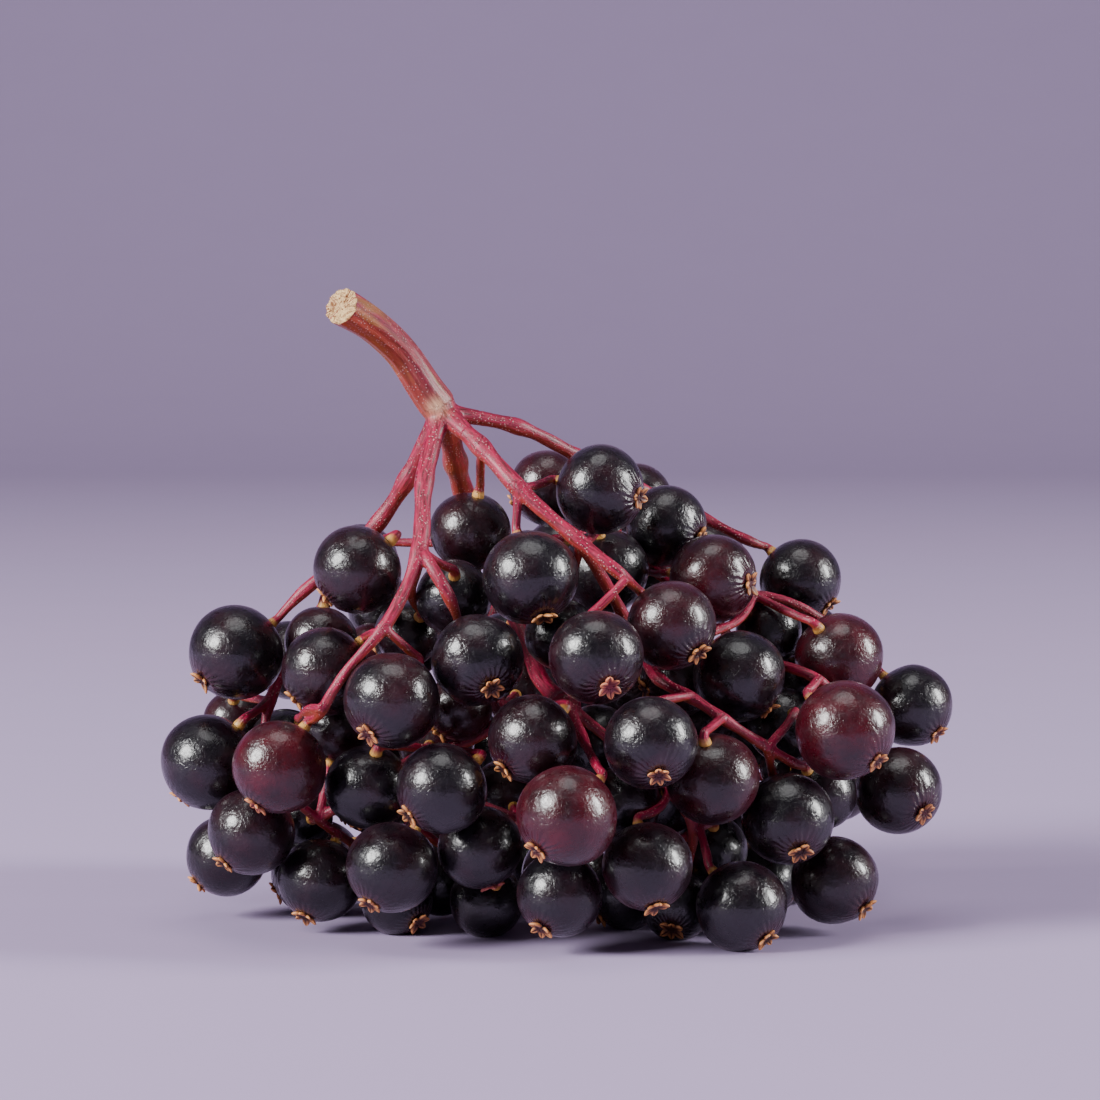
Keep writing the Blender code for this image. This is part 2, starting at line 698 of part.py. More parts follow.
def berry_solid(name, berry, roll, collection):
    """A berry with its six-lobed calyx crown, flattened where it rests on the surface."""
    radius = berry.radius
    outline = []
    for degrees in BERRY_RINGS:
        polar = math.radians(degrees)
        outline.append((radius * math.sin(polar), -radius * math.cos(polar)))
    if berry.crown_shows:
        outline.append((CROWN_NECK, math.sqrt(radius**2 - CROWN_NECK**2) - 0.03))
    maker = bmesh.new()
    rings = [ring_of(maker, [reach], [height], BERRY_SIDES) for reach, height in outline]
    lobes = [radius + CROWN_RISE, radius + CROWN_RISE * 0.5]
    crown = ring_of(maker, [CROWN_RADIUS, CROWN_NOTCH], lobes, BERRY_SIDES)
    rings.append(crown)
    for lower, upper in zip(rings, rings[1:]):
        for step in range(BERRY_SIDES):
            after = (step + 1) % BERRY_SIDES
            maker.faces.new((lower[step], lower[after], upper[after], upper[step]))
    polar = math.radians(POLE_RING)
    pole = ring_of(maker, [radius * math.sin(polar)], [-radius * math.cos(polar)], BERRY_SIDES // 2)
    maker.faces.new(pole[::-1])
    for step, vertex in enumerate(pole):
        after = pole[(step + 1) % len(pole)]
        here = 2 * step
        maker.faces.new((vertex, rings[0][here + 1], rings[0][here]))
        maker.faces.new((vertex, after, rings[0][here + 1]))
        maker.faces.new((after, rings[0][(here + 2) % BERRY_SIDES], rings[0][here + 1]))
    crown_pit = maker.verts.new((0.0, 0.0, radius - 0.2))
    for step in range(BERRY_SIDES):
        after = (step + 1) % BERRY_SIDES
        maker.faces.new((crown[step], crown[after], crown_pit))
    facing = Vector(berry.axis).to_track_quat("Z", "Y").to_matrix().to_4x4()
    turn = Matrix.Rotation(roll, 4, "Z")
    place = Matrix.Translation(Vector(berry.centre)) @ facing @ turn
    bmesh.ops.transform(maker, matrix=place, verts=maker.verts)
    flatten_below(maker)
    return new_object(name, maker, collection)


def inner_berry_solid(name, berry, roll, collection):
    """A plain round berry for the depth of the head, where only a part of its skin shows."""
    maker = bmesh.new()
    bmesh.ops.create_icosphere(maker, subdivisions=2, radius=berry.radius)
    facing = Vector(berry.axis).to_track_quat("Z", "Y").to_matrix().to_4x4()
    turn = Matrix.Rotation(roll, 4, "Z")
    place = Matrix.Translation(Vector(berry.centre)) @ facing @ turn
    bmesh.ops.transform(maker, matrix=place, verts=maker.verts)
    flatten_below(maker)
    return new_object(name, maker, collection)


def flatten_below(maker):
    """Cut a berry flat where it rests on the surface."""
    if min(vertex.co.z for vertex in maker.verts) < 0.0:
        bmesh.ops.triangulate(maker, faces=maker.faces[:])
        everything = maker.verts[:] + maker.edges[:] + maker.faces[:]
        bmesh.ops.bisect_plane(
            maker,
            geom=everything,
            dist=0.001,
            plane_co=(0.0, 0.0, 0.0),
            plane_no=(0.0, 0.0, 1.0),
            clear_inner=True,
        )
        bmesh.ops.holes_fill(maker, edges=[edge for edge in maker.edges if edge.is_boundary])


def shows(berry):
    """Say whether a berry can be told from outside; low ones inside are covered on every side."""
    high = berry.centre[2] > INNER_SHOWN_ABOVE
    outward = abs(berry.centre[0]) > INNER_SHOWN_BEYOND
    return not berry.inner or high or outward


def thinned(points):
    """Keep only the points that a line needs to stay close to its bends."""
    chord = points[-1] - points[0]
    along = (points - points[0]) @ chord / max(float(chord @ chord), 1e-9)
    offset = np.linalg.norm(points - points[0] - along[:, None] * chord, axis=1)
    farthest = int(np.argmax(offset))
    if offset[farthest] < BEND_TOLERANCE:
        return points[[0, -1]]
    return np.vstack([thinned(points[: farthest + 1]), thinned(points[farthest:])[1:]])


def stem_points(points, strand):
    """The few points that a stem is built on, with the thickness at each."""
    radius = strand.diameter / 2.0
    if strand.berry >= 0:
        kept = np.vstack([thinned(points[:-1]), points[-1:]])
        radii = np.full(len(kept), radius)
        radii[-2:] = STALK_END_DIAMETER / 2.0
        return kept, radii
    kept = thinned(points)
    radii = np.full(len(kept), radius)
    radii[0] *= 1.1
    radii[-1] *= FORK_SWELLING
    return kept, radii


def next_strand(strand, strands):
    """The stem that carries on where this one forks: the thickest, then the straightest."""
    best = None
    best_rank = None
    heading = unit(strand.points[-1] - strand.points[-2])
    for index, other in enumerate(strands):
        if other.start == strand.end and other.spray == strand.spray:
            straightness = float(heading @ unit(other.points[1] - other.points[0]))
            rank = (other.berry < 0, other.diameter + 0.4 * straightness)
            if best is None or rank > best_rank:
                best = index
                best_rank = rank
    return best


def add_stems(forks, strands, collections):
    """Build each stem as one long tube through its forks, with side stems rooted in its middle."""
    carried_on = {}
    for index, strand in enumerate(strands):
        if strand.end >= 0:
            carried_on[index] = next_strand(strand, strands)
    followers = set(carried_on.values())
    for index, strand in enumerate(strands):
        if index in followers:
            continue
        points, radii = stem_points(strand.points, strand)
        parent_spray = forks[strand.start].spray
        if parent_spray != strand.spray:
            stub = HUB_STUB if parent_spray == "peduncle" else FORK_STUB
            stub_points = resample(cut_between(strand.points, 0.0, stub), 2)
            tube(f"stub_{index}", stub_points, radii[:2], 6, collections[parent_spray])
            trimmed = cut_between(strand.points, stub + NODE_GAP, 999.0)
            points, radii = stem_points(trimmed, strand)
        follower = carried_on.get(index)
        while follower is not None:
            more = strands[follower]
            more_points, more_radii = stem_points(more.points, more)
            points = np.vstack([points, more_points[1:]])
            radii = np.concatenate([radii, more_radii[1:]])
            follower = carried_on.get(follower)
        sides = 6 if strand.diameter > THICK_BRANCH else 5
        tube(f"stem_{index}", points, radii, sides, collections[strand.spray])


def joined(name, collection, colour, roughness):
    """Unite everything in a collection into one body with a material of its own."""
    parts = list(collection.objects)
    base = parts[0]
    collection.objects.unlink(base)
    bpy.context.scene.collection.objects.link(base)
    union = base.modifiers.new("union", "BOOLEAN")
    union.operation = "UNION"
    union.operand_type = "COLLECTION"
    union.collection = collection
    # The exact solver leaves edges with four faces where a stem bends close to its berry
    union.solver = "MANIFOLD"
    depsgraph = bpy.context.evaluated_depsgraph_get()
    mesh = bpy.data.meshes.new_from_object(base.evaluated_get(depsgraph))
    for part in parts:
        bpy.data.objects.remove(part, do_unlink=True)
    bpy.data.collections.remove(collection)
    keep_largest_body(mesh)
    mesh.name = name
    result = bpy.data.objects.new(name, mesh)
    bpy.context.scene.collection.objects.link(result)
    material = bpy.data.materials.new(f"{name}_skin")
    material.use_nodes = True
    shader = material.node_tree.nodes["Principled BSDF"]
    shader.inputs["Base Color"].default_value = (*colour, 1.0)
    shader.inputs["Roughness"].default_value = roughness
    shader.inputs["Metallic"].default_value = 0.0
    mesh.materials.clear()
    mesh.materials.append(material)
    return result


def cleaned(mesh):
    """Close the shortest edges and split every face, in the first way that keeps it one skin."""
    for shortest in SHORTEST_EDGES:
        for method in ("BEAUTY", "SHORT_EDGE", "FIXED"):
            maker = bmesh.new()
            maker.from_mesh(mesh)
            bmesh.ops.dissolve_degenerate(maker, dist=shortest * MM, edges=maker.edges[:])
            bmesh.ops.triangulate(maker, faces=maker.faces[:], quad_method=method)
            if all(edge.is_manifold for edge in maker.edges):
                return maker
    return maker


def keep_largest_body(mesh):
    """Drop the loose scraps that a union may leave, and make every face a triangle."""
    maker = cleaned(mesh)
    bodies = []
    waiting = set(maker.verts)
    while waiting:
        body = {waiting.pop()}
        front = list(body)
        while front:
            vertex = front.pop()
            for edge in vertex.link_edges:
                other = edge.other_vert(vertex)
                if other not in body:
                    body.add(other)
                    front.append(other)
        waiting -= body
        bodies.append(body)
    bodies.sort(key=len)
    for scrap in bodies[:-1]:
        bmesh.ops.delete(maker, geom=list(scrap), context="VERTS")
    maker.to_mesh(mesh)
    maker.free()


def build():
    """Build the stalk and the sprays."""
    forks, berries, strands = lay_out()
    names = sorted({fork.spray for fork in forks})
    collections = {}
    for name in names:
        collections[name] = bpy.data.collections.new(name)
        bpy.context.scene.collection.children.link(collections[name])

    # Main stalk and its hub
    stalk = np.array([seen_at(*row[:3]) + MIDDLE_SHIFT for row in PEDUNCLE])
    radii = np.array([row[3] for row in PEDUNCLE]) / 2.0
    tube("main_stalk", stalk, radii, 12, collections["peduncle"])
    ball("hub_knot", forks[0].place, forks[0].diameter * 0.56, collections["peduncle"])

    # Branches, stalks and berries
    kept = [strand for strand in strands if strand.berry < 0 or shows(berries[strand.berry])]
    add_stems(forks, kept, collections)
    for index, berry in enumerate(berries):
        if shows(berry):
            shape = inner_berry_solid if berry.inner else berry_solid
            shape(f"berry_{index}", berry, index * 1.7, collections[forks[berry.fork].spray])

    for name in names:
        if name == "peduncle":
            joined(name, collections[name], (0.21, 0.012, 0.032), 0.38)
        else:
            joined(name, collections[name], (0.016, 0.005, 0.014), 0.25)


build()
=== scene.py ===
import json
import math
from dataclasses import dataclass

import bpy
import numpy as np
from mathutils import Matrix, Vector
from mathutils.kdtree import KDTree

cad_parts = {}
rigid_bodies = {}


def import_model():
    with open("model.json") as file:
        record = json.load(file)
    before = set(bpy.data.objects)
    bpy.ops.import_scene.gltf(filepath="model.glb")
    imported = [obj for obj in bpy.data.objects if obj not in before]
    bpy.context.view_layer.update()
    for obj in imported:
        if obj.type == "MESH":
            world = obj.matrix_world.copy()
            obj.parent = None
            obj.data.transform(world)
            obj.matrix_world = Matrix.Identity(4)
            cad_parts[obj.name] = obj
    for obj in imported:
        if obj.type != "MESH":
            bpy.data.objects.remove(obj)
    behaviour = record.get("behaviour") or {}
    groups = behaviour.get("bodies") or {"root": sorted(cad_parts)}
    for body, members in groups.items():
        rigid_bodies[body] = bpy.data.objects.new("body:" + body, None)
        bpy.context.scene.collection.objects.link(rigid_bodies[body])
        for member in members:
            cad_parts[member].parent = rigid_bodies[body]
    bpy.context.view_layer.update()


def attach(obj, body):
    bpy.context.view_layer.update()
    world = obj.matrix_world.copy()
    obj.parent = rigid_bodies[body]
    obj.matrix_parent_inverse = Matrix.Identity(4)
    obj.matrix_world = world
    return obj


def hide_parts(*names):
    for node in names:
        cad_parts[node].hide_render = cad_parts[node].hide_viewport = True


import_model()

# How the cluster grows
# A cut head of ripe elderberries, lying with its stalk raised. The forks and berries in front are
# placed as they look from there, in millimetres; the ones behind follow the habit of the plant,
# and all of them then settle against each other as ripe berries do.
MM = 0.001
VIEW_DISTANCE = 280.0
VIEW_TILT = math.radians(4.0)
TILT_SIN = math.sin(VIEW_TILT)
TILT_COS = math.cos(VIEW_TILT)
VIEW_HEIGHT = 28.3
HORIZON = 30.77
MIDDLE_SHIFT = np.array([-0.7, 2.0, 0.0])
STALK_DIAMETER = 0.78
RESTING_SINK = 0.2
RESTING_REACH = 0.6
CROWN_RADIUS = 1.0
CROWN_DEPTH = 0.2
STALK_DEPTH = 0.6
STALK_LEAD = 0.55
HUB_EASE = 0.01

SPRAY_NAMES = {
    "left": "spray_left",
    "a": "spray_front_left",
    "b": "spray_front_right",
    "c": "spray_upper_right",
    "e": "spray_upper_right",
    "d": "spray_lower_right",
    "t": "spray_centre",
    "m": "spray_centre",
    "p": "spray_back_left",
    "q": "spray_back_right",
    "hub": "peduncle",
}

# Main stalk, from its cut end down to the hub where the rays part: across, up, depth, diameter
PEDUNCLE = [
    (-16.0, 49.5, -13.5, 2.8),
    (-13.7, 48.1, -10.5, 2.55),
    (-11.5, 46.0, -8.0, 2.5),
    (-9.6, 43.2, -6.5, 2.7),
    (-8.3, 41.4, -6.0, 2.9),
]

# Forks: name, the fork it grows from, across, up, depth, diameter of the branch to it
FORKS = [
    ("a_1", "hub", -9.8, 36.3, -10.0, 1.50),
    ("a_2", "a_1", -9.8, 30.6, -14.0, 1.40),
    ("a_3", "a_2", -12.6, 24.6, -16.5, 1.05),
    ("a_4", "a_3", -17.5, 18.6, -17.0, 0.85),
    ("a_5", "a_2", -7.5, 26.9, -16.0, 1.05),
    ("b_1", "hub", -5.3, 38.8, -8.5, 1.50),
    ("b_2", "b_1", -2.5, 35.5, -11.0, 1.40),
    ("b_3", "b_2", 2.1, 31.2, -12.5, 1.20),
    ("b_4", "b_3", 5.9, 28.6, -14.0, 1.05),
    ("c_1", "hub", -2.3, 40.4, -4.0, 1.25),
    ("c_2", "c_1", 2.3, 37.9, -1.0, 1.15),
    ("c_3", "c_2", 6.2, 35.8, 4.0, 1.10),
    ("c_4", "c_3", 11.7, 33.3, 6.0, 1.00),
    ("c_5", "c_4", 15.5, 31.3, 5.0, 0.85),
    ("c_8", "c_3", 7.3, 29.4, 3.0, 0.85),
    ("c_9", "c_8", 11.9, 26.9, 2.0, 0.95),
    ("c_6", "c_9", 15.9, 26.9, -1.5, 0.90),
    ("c_7", "c_6", 24.0, 23.5, 1.0, 0.80),
    ("d_0", "b_3", 6.3, 24.6, -6.5, 1.05),
    ("d_1", "d_0", 8.5, 21.4, -12.0, 1.00),
    ("d_2", "d_1", 10.8, 19.6, -13.5, 0.95),
    ("d_3", "d_2", 13.2, 17.8, -14.0, 0.90),
    ("d_4", "d_3", 16.7, 15.6, -13.0, 0.85),
    ("d_5", "d_4", 19.2, 14.1, -10.5, 0.80),
    ("e_1", "c_9", 15.0, 23.1, -2.0, 0.95),
    ("e_2", "e_1", 20.8, 21.0, -8.0, 0.90),
    ("e_3", "e_2", 23.1, 19.2, -3.0, 0.85),
    ("e_4", "e_1", 19.2, 13.8, -2.0, 0.85),
    ("t_1", "hub", -7.3, 37.5, -2.0, 1.90),
    ("t_2", "t_1", -6.5, 34.6, 2.0, 1.80),
    ("t_3", "t_2", -5.4, 31.2, 4.0, 1.70),
    ("m_1", "t_3", 1.4, 18.8, -10.5, 1.50),
    ("m_2", "m_1", 2.5, 16.3, -14.0, 0.95),
    ("m_4", "m_1", -3.5, 18.8, -11.0, 0.90),
    ("m_5", "m_4", -9.2, 15.8, -10.0, 0.95),
    ("m_6", "m_5", -10.4, 9.6, -8.0, 0.90),
    ("m_7", "m_1", -2.3, 10.0, -9.0, 1.00),
    ("m_8", "m_1", 8.6, 12.2, -12.5, 0.95),
    ("m_9", "m_8", 11.5, 9.4, -11.0, 0.90),
    ("m_10", "m_5", -17.8, 10.0, -7.0, 0.85),
    ("left_1", "hub", -11.0, 36.0, -4.5, 1.45),
    ("left_2", "left_1", -13.3, 32.6, -3.5, 1.35),
    ("left_3", "left_2", -15.6, 30.2, -3.5, 1.25),
    ("left_4", "left_3", -19.2, 27.5, -3.5, 1.05),
    ("left_5", "left_3", -16.9, 26.9, -1.0, 0.95),
    ("left_6", "left_5", -21.7, 19.2, -2.0, 1.00),
]

# Berries in sight: fork, across, up, depth, diameter, redness from 0 (ripe) to 1, and which way
# the calyx crown looks (across, up, and 1 towards the viewer or -1 away), or None out of sight
BERRIES = [
    ("left_3", -14.5, 29.4, -9.0, 6.7, 0.25, (-0.76, -0.64, 1)),
    ("b_1", -6.1, 32.2, -3.0, 6.2, 0.40, (-0.20, -0.95, -1)),
    ("c_3", -0.2, 35.5, 5.0, 6.0, 0.45, None),
    ("b_2", 3.8, 35.2, -7.0, 6.8, 0.00, (0.90, -0.10, 1)),
    ("c_4", 8.6, 32.5, 2.0, 6.4, 0.10, (0.85, -0.22, 1)),
    ("c_8", 12.7, 28.3, -4.0, 6.8, 0.65, (0.85, 0.00, 1)),
    ("c_5", 19.3, 28.5, 5.0, 6.5, 0.00, (0.69, -0.65, 1)),
    ("c_6", 21.3, 22.5, -3.0, 6.8, 0.85, (0.73, -0.60, -1)),
    ("c_7", 27.8, 18.8, -1.0, 6.4, 0.05, (0.62, -0.66, 1)),
    ("b_4", 9.3, 24.8, -12.0, 6.7, 0.45, (0.62, -0.55, 1)),
    ("e_2", 22.7, 16.9, -12.0, 7.5, 0.90, (0.63, -0.58, 1)),
    ("c_6", 14.5, 21.1, -9.0, 7.0, 0.10, (0.68, -0.73, 1)),
    ("b_2", -1.4, 28.5, -13.0, 7.1, 0.00, (0.27, -0.82, 1)),
    ("a_5", -5.7, 22.6, -15.0, 6.8, 0.10, (0.43, -0.72, 1)),
    ("b_4", 3.9, 21.9, -18.0, 6.9, 0.25, (0.22, -0.47, 1)),
    ("a_3", -12.0, 19.2, -17.0, 7.1, 0.25, (-0.53, -0.64, 1)),
    ("left_4", -24.0, 22.9, -5.0, 7.3, 0.15, (-0.73, -0.56, 1)),
    ("left_5", -17.8, 23.8, -3.0, 5.6, 0.30, None),
    ("a_3", -17.3, 21.2, -10.0, 6.7, 0.30, (-0.63, -0.76, 1)),
    ("left_6", -25.6, 14.2, -5.0, 7.4, 0.05, (-0.78, -0.67, 1)),
    ("a_4", -20.8, 15.7, -0.5, 5.9, 0.00, None),
    ("a_4", -20.0, 13.9, -13.5, 7.0, 0.95, (-0.67, -0.66, 1)),
    ("m_5", -14.3, 12.7, -11.0, 6.4, 0.00, (-0.14, -0.91, -1)),
    ("m_5", -8.5, 12.8, -18.0, 6.7, 0.00, (-0.66, -0.67, 1)),
    ("m_10", -22.6, 9.1, -9.0, 6.6, 0.30, (-0.65, -0.61, 1)),
    ("left_6", -24.9, 7.2, -2.0, 6.3, 0.15, (-0.72, -0.69, 1)),
    ("m_10", -17.8, 5.7, -8.0, 6.4, 0.05, (-0.30, -0.90, 1)),
    ("m_6", -11.9, 6.4, -15.0, 6.8, 0.15, (-0.53, -0.75, 1)),
    ("m_6", -12.2, 4.5, -8.0, 5.5, 0.00, (0.58, -0.70, 1)),
    ("m_6", -8.6, 5.4, -3.5, 5.7, 0.00, None),
    ("m_7", -5.2, 7.5, -13.0, 6.3, 0.00, (0.31, -0.92, 1)),
    ("m_7", -4.9, 4.0, -9.0, 5.6, 0.00, None),
    ("m_4", -2.2, 16.2, -17.0, 6.6, 0.35, (-0.48, -0.72, 1)),
    ("m_2", 1.3, 10.3, -22.0, 7.3, 0.85, (-0.62, -0.64, 1)),
    ("m_7", 0.7, 4.2, -17.0, 6.3, 0.10, (-0.44, -0.72, 1)),
    ("d_2", 7.5, 16.0, -19.0, 6.8, 0.00, (0.22, -0.61, 1)),
    ("d_3", 12.5, 13.0, -15.0, 6.9, 0.55, (0.23, -0.87, -1)),
    ("d_4", 17.5, 10.5, -13.0, 6.9, 0.05, (0.44, -0.70, 1)),
    ("m_8", 7.5, 6.4, -18.0, 6.6, 0.25, (0.18, -0.86, 1)),
    ("m_9", 14.7, 3.7, -15.0, 6.8, 0.05, (0.50, -0.75, 1)),
    ("e_4", 21.8, 5.9, -8.0, 6.7, 0.25, (0.62, -0.68, 1)),
    ("e_3", 25.7, 12.2, -5.0, 6.7, 0.35, (0.80, -0.36, 1)),
    ("d_5", 21.2, 11.8, -6.5, 5.7, 0.10, None),
    ("m_9", 5.8, 4.4, -6.0, 5.5, 0.00, None),
    ("m_9", 9.8, 3.8, -10.5, 5.3, 0.00, None),
    ("m_9", 11.8, 7.2, -6.5, 5.6, 0.00, None),
    ("m_8", 6.2, 11.5, -13.0, 5.6, 0.00, None),
    ("m_4", -6.5, 18.1, -10.5, 5.0, 0.60, None),
    ("b_3", 0.9, 24.2, -8.5, 5.5, 0.05, None),
    ("b_3", 4.3, 29.2, -2.0, 6.7, 0.15, None),
    ("a_2", -8.0, 27.1, -8.5, 5.7, 0.05, None),
    ("a_2", -10.9, 24.3, -4.5, 4.9, 0.20, None),
    ("c_6", 17.4, 24.5, -1.0, 5.2, 0.05, None),
    ("d_4", 18.1, 17.3, -5.0, 5.7, 0.00, None),
    ("left_6", -24.0, 17.5, 3.3, 4.9, 0.35, None),
]

# Berries out of sight: an outer shell round the back, and room for others between and inside
SHELL_CENTRE = np.array([1.0, -1.0, 13.0])
SHELL_AXES = np.array([26.0, 19.5, 22.5])
SHELLS = [
    (84, 1.0, -1.0, False),
    (171, 0.97, -1.0, True),
    (34, 0.60, -9.0, True),
]
HIDDEN_LOW = 3.1
HIDDEN_HIGH = 35.0
HIDDEN_RADIUS = (2.9, 3.5)
COVER_MARGIN = 0.9
SEED = 11

# Gaps of the head that look dark in the view, across and up: one more berry hangs behind each
DARK_GAPS = [
    (-3.2, 11.8),
    (9.9, 21.0),
    (3.6, 15.9),
    (-2.2, 20.0),
    (-16.4, 17.0),
    (18.9, 20.5),
    (17.9, 14.0),
    (-18.9, 10.2),
    (-13.8, 23.0),
    (-8.8, 16.2),
    (11.7, 17.9),
    (8.6, 11.9),
    (8.1, 28.7),
    (6.5, 19.9),
    (14.4, 10.0),
]
FILL_RADII = (3.0, 2.6, 2.2, 1.8)
FILL_FRONT = -9.0
FILL_BACK = 11.0
FILL_CLEARANCE = 0.02
FILL_POINTS = 6
FAR = 99.0


@dataclass
class Fork:
    """A point where stems part, in mm."""

    name: str
    parent: int
    place: np.ndarray
    diameter: float
    spray: str


@dataclass
class Berry:
    """A berry, the fork that its stalk leaves, and the way its crown looks."""

    fork: int
    centre: np.ndarray
    radius: float
    axis: np.ndarray
    seen: bool
    inner: bool = False


@dataclass
class Strand:
    """A stem from one fork to the next or to a berry; -1 stands for none."""

    spray: str
    start: int
    end: int
    berry: int
    points: np.ndarray
    diameter: float


def unit(vector):
    """The vector at length one."""
    return vector / max(float(np.linalg.norm(vector)), 1e-9)


def seen_at(across, up, depth):
    """Turn a place in the view, in mm at the view distance, into a place in space."""
    height = up - HORIZON
    rise = height * (1.0 + depth * TILT_COS / VIEW_DISTANCE) - depth * TILT_SIN
    rise /= TILT_COS + height / VIEW_DISTANCE * TILT_SIN
    distance = VIEW_DISTANCE + depth * TILT_COS - rise * TILT_SIN
    return np.array([across * distance / VIEW_DISTANCE, depth, VIEW_HEIGHT + rise])


def view_of(place):
    """Turn a place in space into its place in the view and the scale there."""
    rise = place[2] - VIEW_HEIGHT
    scale = VIEW_DISTANCE / (VIEW_DISTANCE + place[1] * TILT_COS - rise * TILT_SIN)
    height = (rise * TILT_COS + place[1] * TILT_SIN) * scale
    return np.array([place[0] * scale, HORIZON + height]), scale


def read_forks():
    """List the hub and the forks in sight."""
    across, up, depth, diameter = PEDUNCLE[-1]
    forks = [Fork("hub", -1, seen_at(across, up, depth), diameter, "peduncle")]
    number = {"hub": 0}
    for name, parent, across, up, depth, diameter in FORKS:
        number[name] = len(forks)
        spray = SPRAY_NAMES[name.split("_")[0]]
        forks.append(Fork(name, number[parent], seen_at(across, up, depth), diameter, spray))
    return forks, number


def crown_axis(calyx, reach, noise):
    """Point the calyx as seen, or away from where the stalk comes from if it is out of sight."""
    if calyx is not None:
        across, up, facing = calyx
        away = math.sqrt(max(0.0, 1.0 - across * across - up * up))
        return unit(np.array([across, -facing * away, up]))
    return unit(0.8 * unit(reach) + np.array([0.0, 0.0, -0.45]) + 0.25 * noise)


def read_berries(forks, number, draw):
    """List the berries in sight."""
    berries = []
    for fork, across, up, depth, diameter, _, calyx in BERRIES:
        centre = seen_at(across, up, depth)
        reach = centre - forks[number[fork]].place
        axis = crown_axis(calyx, reach, draw.normal(size=3))
        berries.append(Berry(number[fork], centre, diameter / 2.0, axis, True))
    return berries


def shell_directions(count):
    """Spread directions evenly over a sphere."""
    steps = np.arange(count) + 0.5
    heights = 1.0 - 2.0 * steps / count
    turns = steps * math.pi * (3.0 - math.sqrt(5.0))
    rings = np.sqrt(1.0 - heights**2)
    return np.stack([rings * np.cos(turns), heights, rings * np.sin(turns)], axis=1)


def is_covered(centre, radius, berries):
    """Say whether the berries in sight hide a berry at this place."""
    middle, scale = view_of(centre)
    discs = []
    for berry in berries:
        if berry.seen:
            place, berry_scale = view_of(berry.centre)
            discs.append((place, berry.radius * berry_scale + COVER_MARGIN))
    for step in range(12):
        turn = step * math.tau / 12
        rim = middle + radius * scale * np.array([math.cos(turn), math.sin(turn)])
        if not any(np.linalg.norm(rim - place) < reach for place, reach in discs):
            return False
    return True


def add_hidden_berries(berries, draw):
    """Fill the back of the head with an outer shell, then the room between and inside."""
    for count, size, front, inner in SHELLS:
        for direction in shell_directions(count):
            radius = draw.uniform(*HIDDEN_RADIUS)
            centre = SHELL_CENTRE + SHELL_AXES * size * direction + draw.normal(size=3) * 0.5
            noise = draw.normal(size=3)
            if centre[1] < front:
                continue
            centre[2] = np.clip(centre[2], HIDDEN_LOW, HIDDEN_HIGH)
            clear = all(
                np.linalg.norm(centre - other.centre) > radius + other.radius - 0.4
                for other in berries
            )
            if clear and is_covered(centre, radius, berries):
                axis = crown_axis(None, centre * np.array([1.0, 1.2, 0.0]), noise)
                berries.append(Berry(-1, centre, radius, axis, False, inner))


def stalk_end(berry, beyond):
    """The place on the crown's opposite side, some way beyond the skin."""
    return berry.centre - berry.axis * (berry.radius + beyond)


def grow(forks, berries, start, members, letter, diameter):
    """Branch from a fork towards a group of berries, halving it until three or fewer are left."""
    origin = forks[start].place
    ends = np.array([stalk_end(berries[member], 1.5) for member in members])
    reach = 0.55 if len(members) <= 3 else 0.42
    place = origin + (ends.mean(axis=0) - origin) * reach
    spray = SPRAY_NAMES[letter]
    forks.append(Fork(f"{letter}_{len(forks)}", start, place, diameter, spray))
    fork = len(forks) - 1
    if len(members) <= 3:
        for member in members:
            berries[member].fork = fork
        return
    spread = ends - ends.mean(axis=0)
    main_axis = np.linalg.svd(spread)[2][0]
    order = np.argsort(spread @ main_axis)
    half = len(members) // 2
    for group in (order[:half], order[half:]):
        chosen = [members[index] for index in group]
        grow(forks, berries, fork, chosen, letter, max(0.85, diameter - 0.2))


def join_hidden_berries(forks, number, berries):
    """Give the hidden berries forks of their own, and hang the inner ones on the nearest fork."""
    outer = [index for index, berry in enumerate(berries) if not berry.seen and not berry.inner]
    left = [index for index in outer if berries[index].centre[0] < 0.0]
    right = [index for index in outer if berries[index].centre[0] >= 0.0]
    grow(forks, berries, number["t_3"], left, "p", 1.35)
    grow(forks, berries, number["t_3"], right, "q", 1.35)
    places = np.array([fork.place for fork in forks])
    for berry in berries:
        if berry.inner:
            gaps = np.linalg.norm(places - stalk_end(berry, 1.5), axis=1)
            gaps[0] = FAR
            berry.fork = int(np.argmin(gaps))


def curve(start, end, start_pull, end_pull, count):
    """Points on a smooth curve that leaves and arrives along the given pulls."""
    along = np.linspace(0.0, 1.0, count)[:, None]
    squared = along**2
    cubed = along**3
    return (
        (2 * cubed - 3 * squared + 1) * start
        + (cubed - 2 * squared + along) * start_pull
        + (3 * squared - 2 * cubed) * end
        + (cubed - squared) * end_pull
    )


def draw_strands(forks, berries):
    """Draw the branches between forks and the stalks to the berries."""
    strands = []
    for index, fork in enumerate(forks):
        if fork.parent < 0:
            continue
        parent = forks[fork.parent]
        reach = fork.place - parent.place
        length = np.linalg.norm(reach)
        arriving = reach
        if parent.parent >= 0:
            arriving = parent.place - forks[parent.parent].place
        leaving = unit(unit(arriving) * 0.35 + unit(reach)) * length
        count = max(4, int(round(length / 1.2)) + 1)
        points = curve(parent.place, fork.place, leaving, reach, count)
        strands.append(Strand(fork.spray, fork.parent, index, -1, points, fork.diameter))
    for index, berry in enumerate(berries):
        fork = forks[berry.fork]
        end = stalk_end(berry, -STALK_DEPTH)
        length = np.linalg.norm(end - fork.place)
        leaving = unit(end - fork.place) * length * 0.8
        count = max(5, int(round(length / 1.1)) + 2)
        points = curve(fork.place, end, leaving, berry.axis * length * 0.8, count)
        points[-2] = stalk_end(berry, STALK_LEAD)
        strands.append(Strand(fork.spray, berry.fork, -1, index, points, STALK_DIAMETER))
    return strands


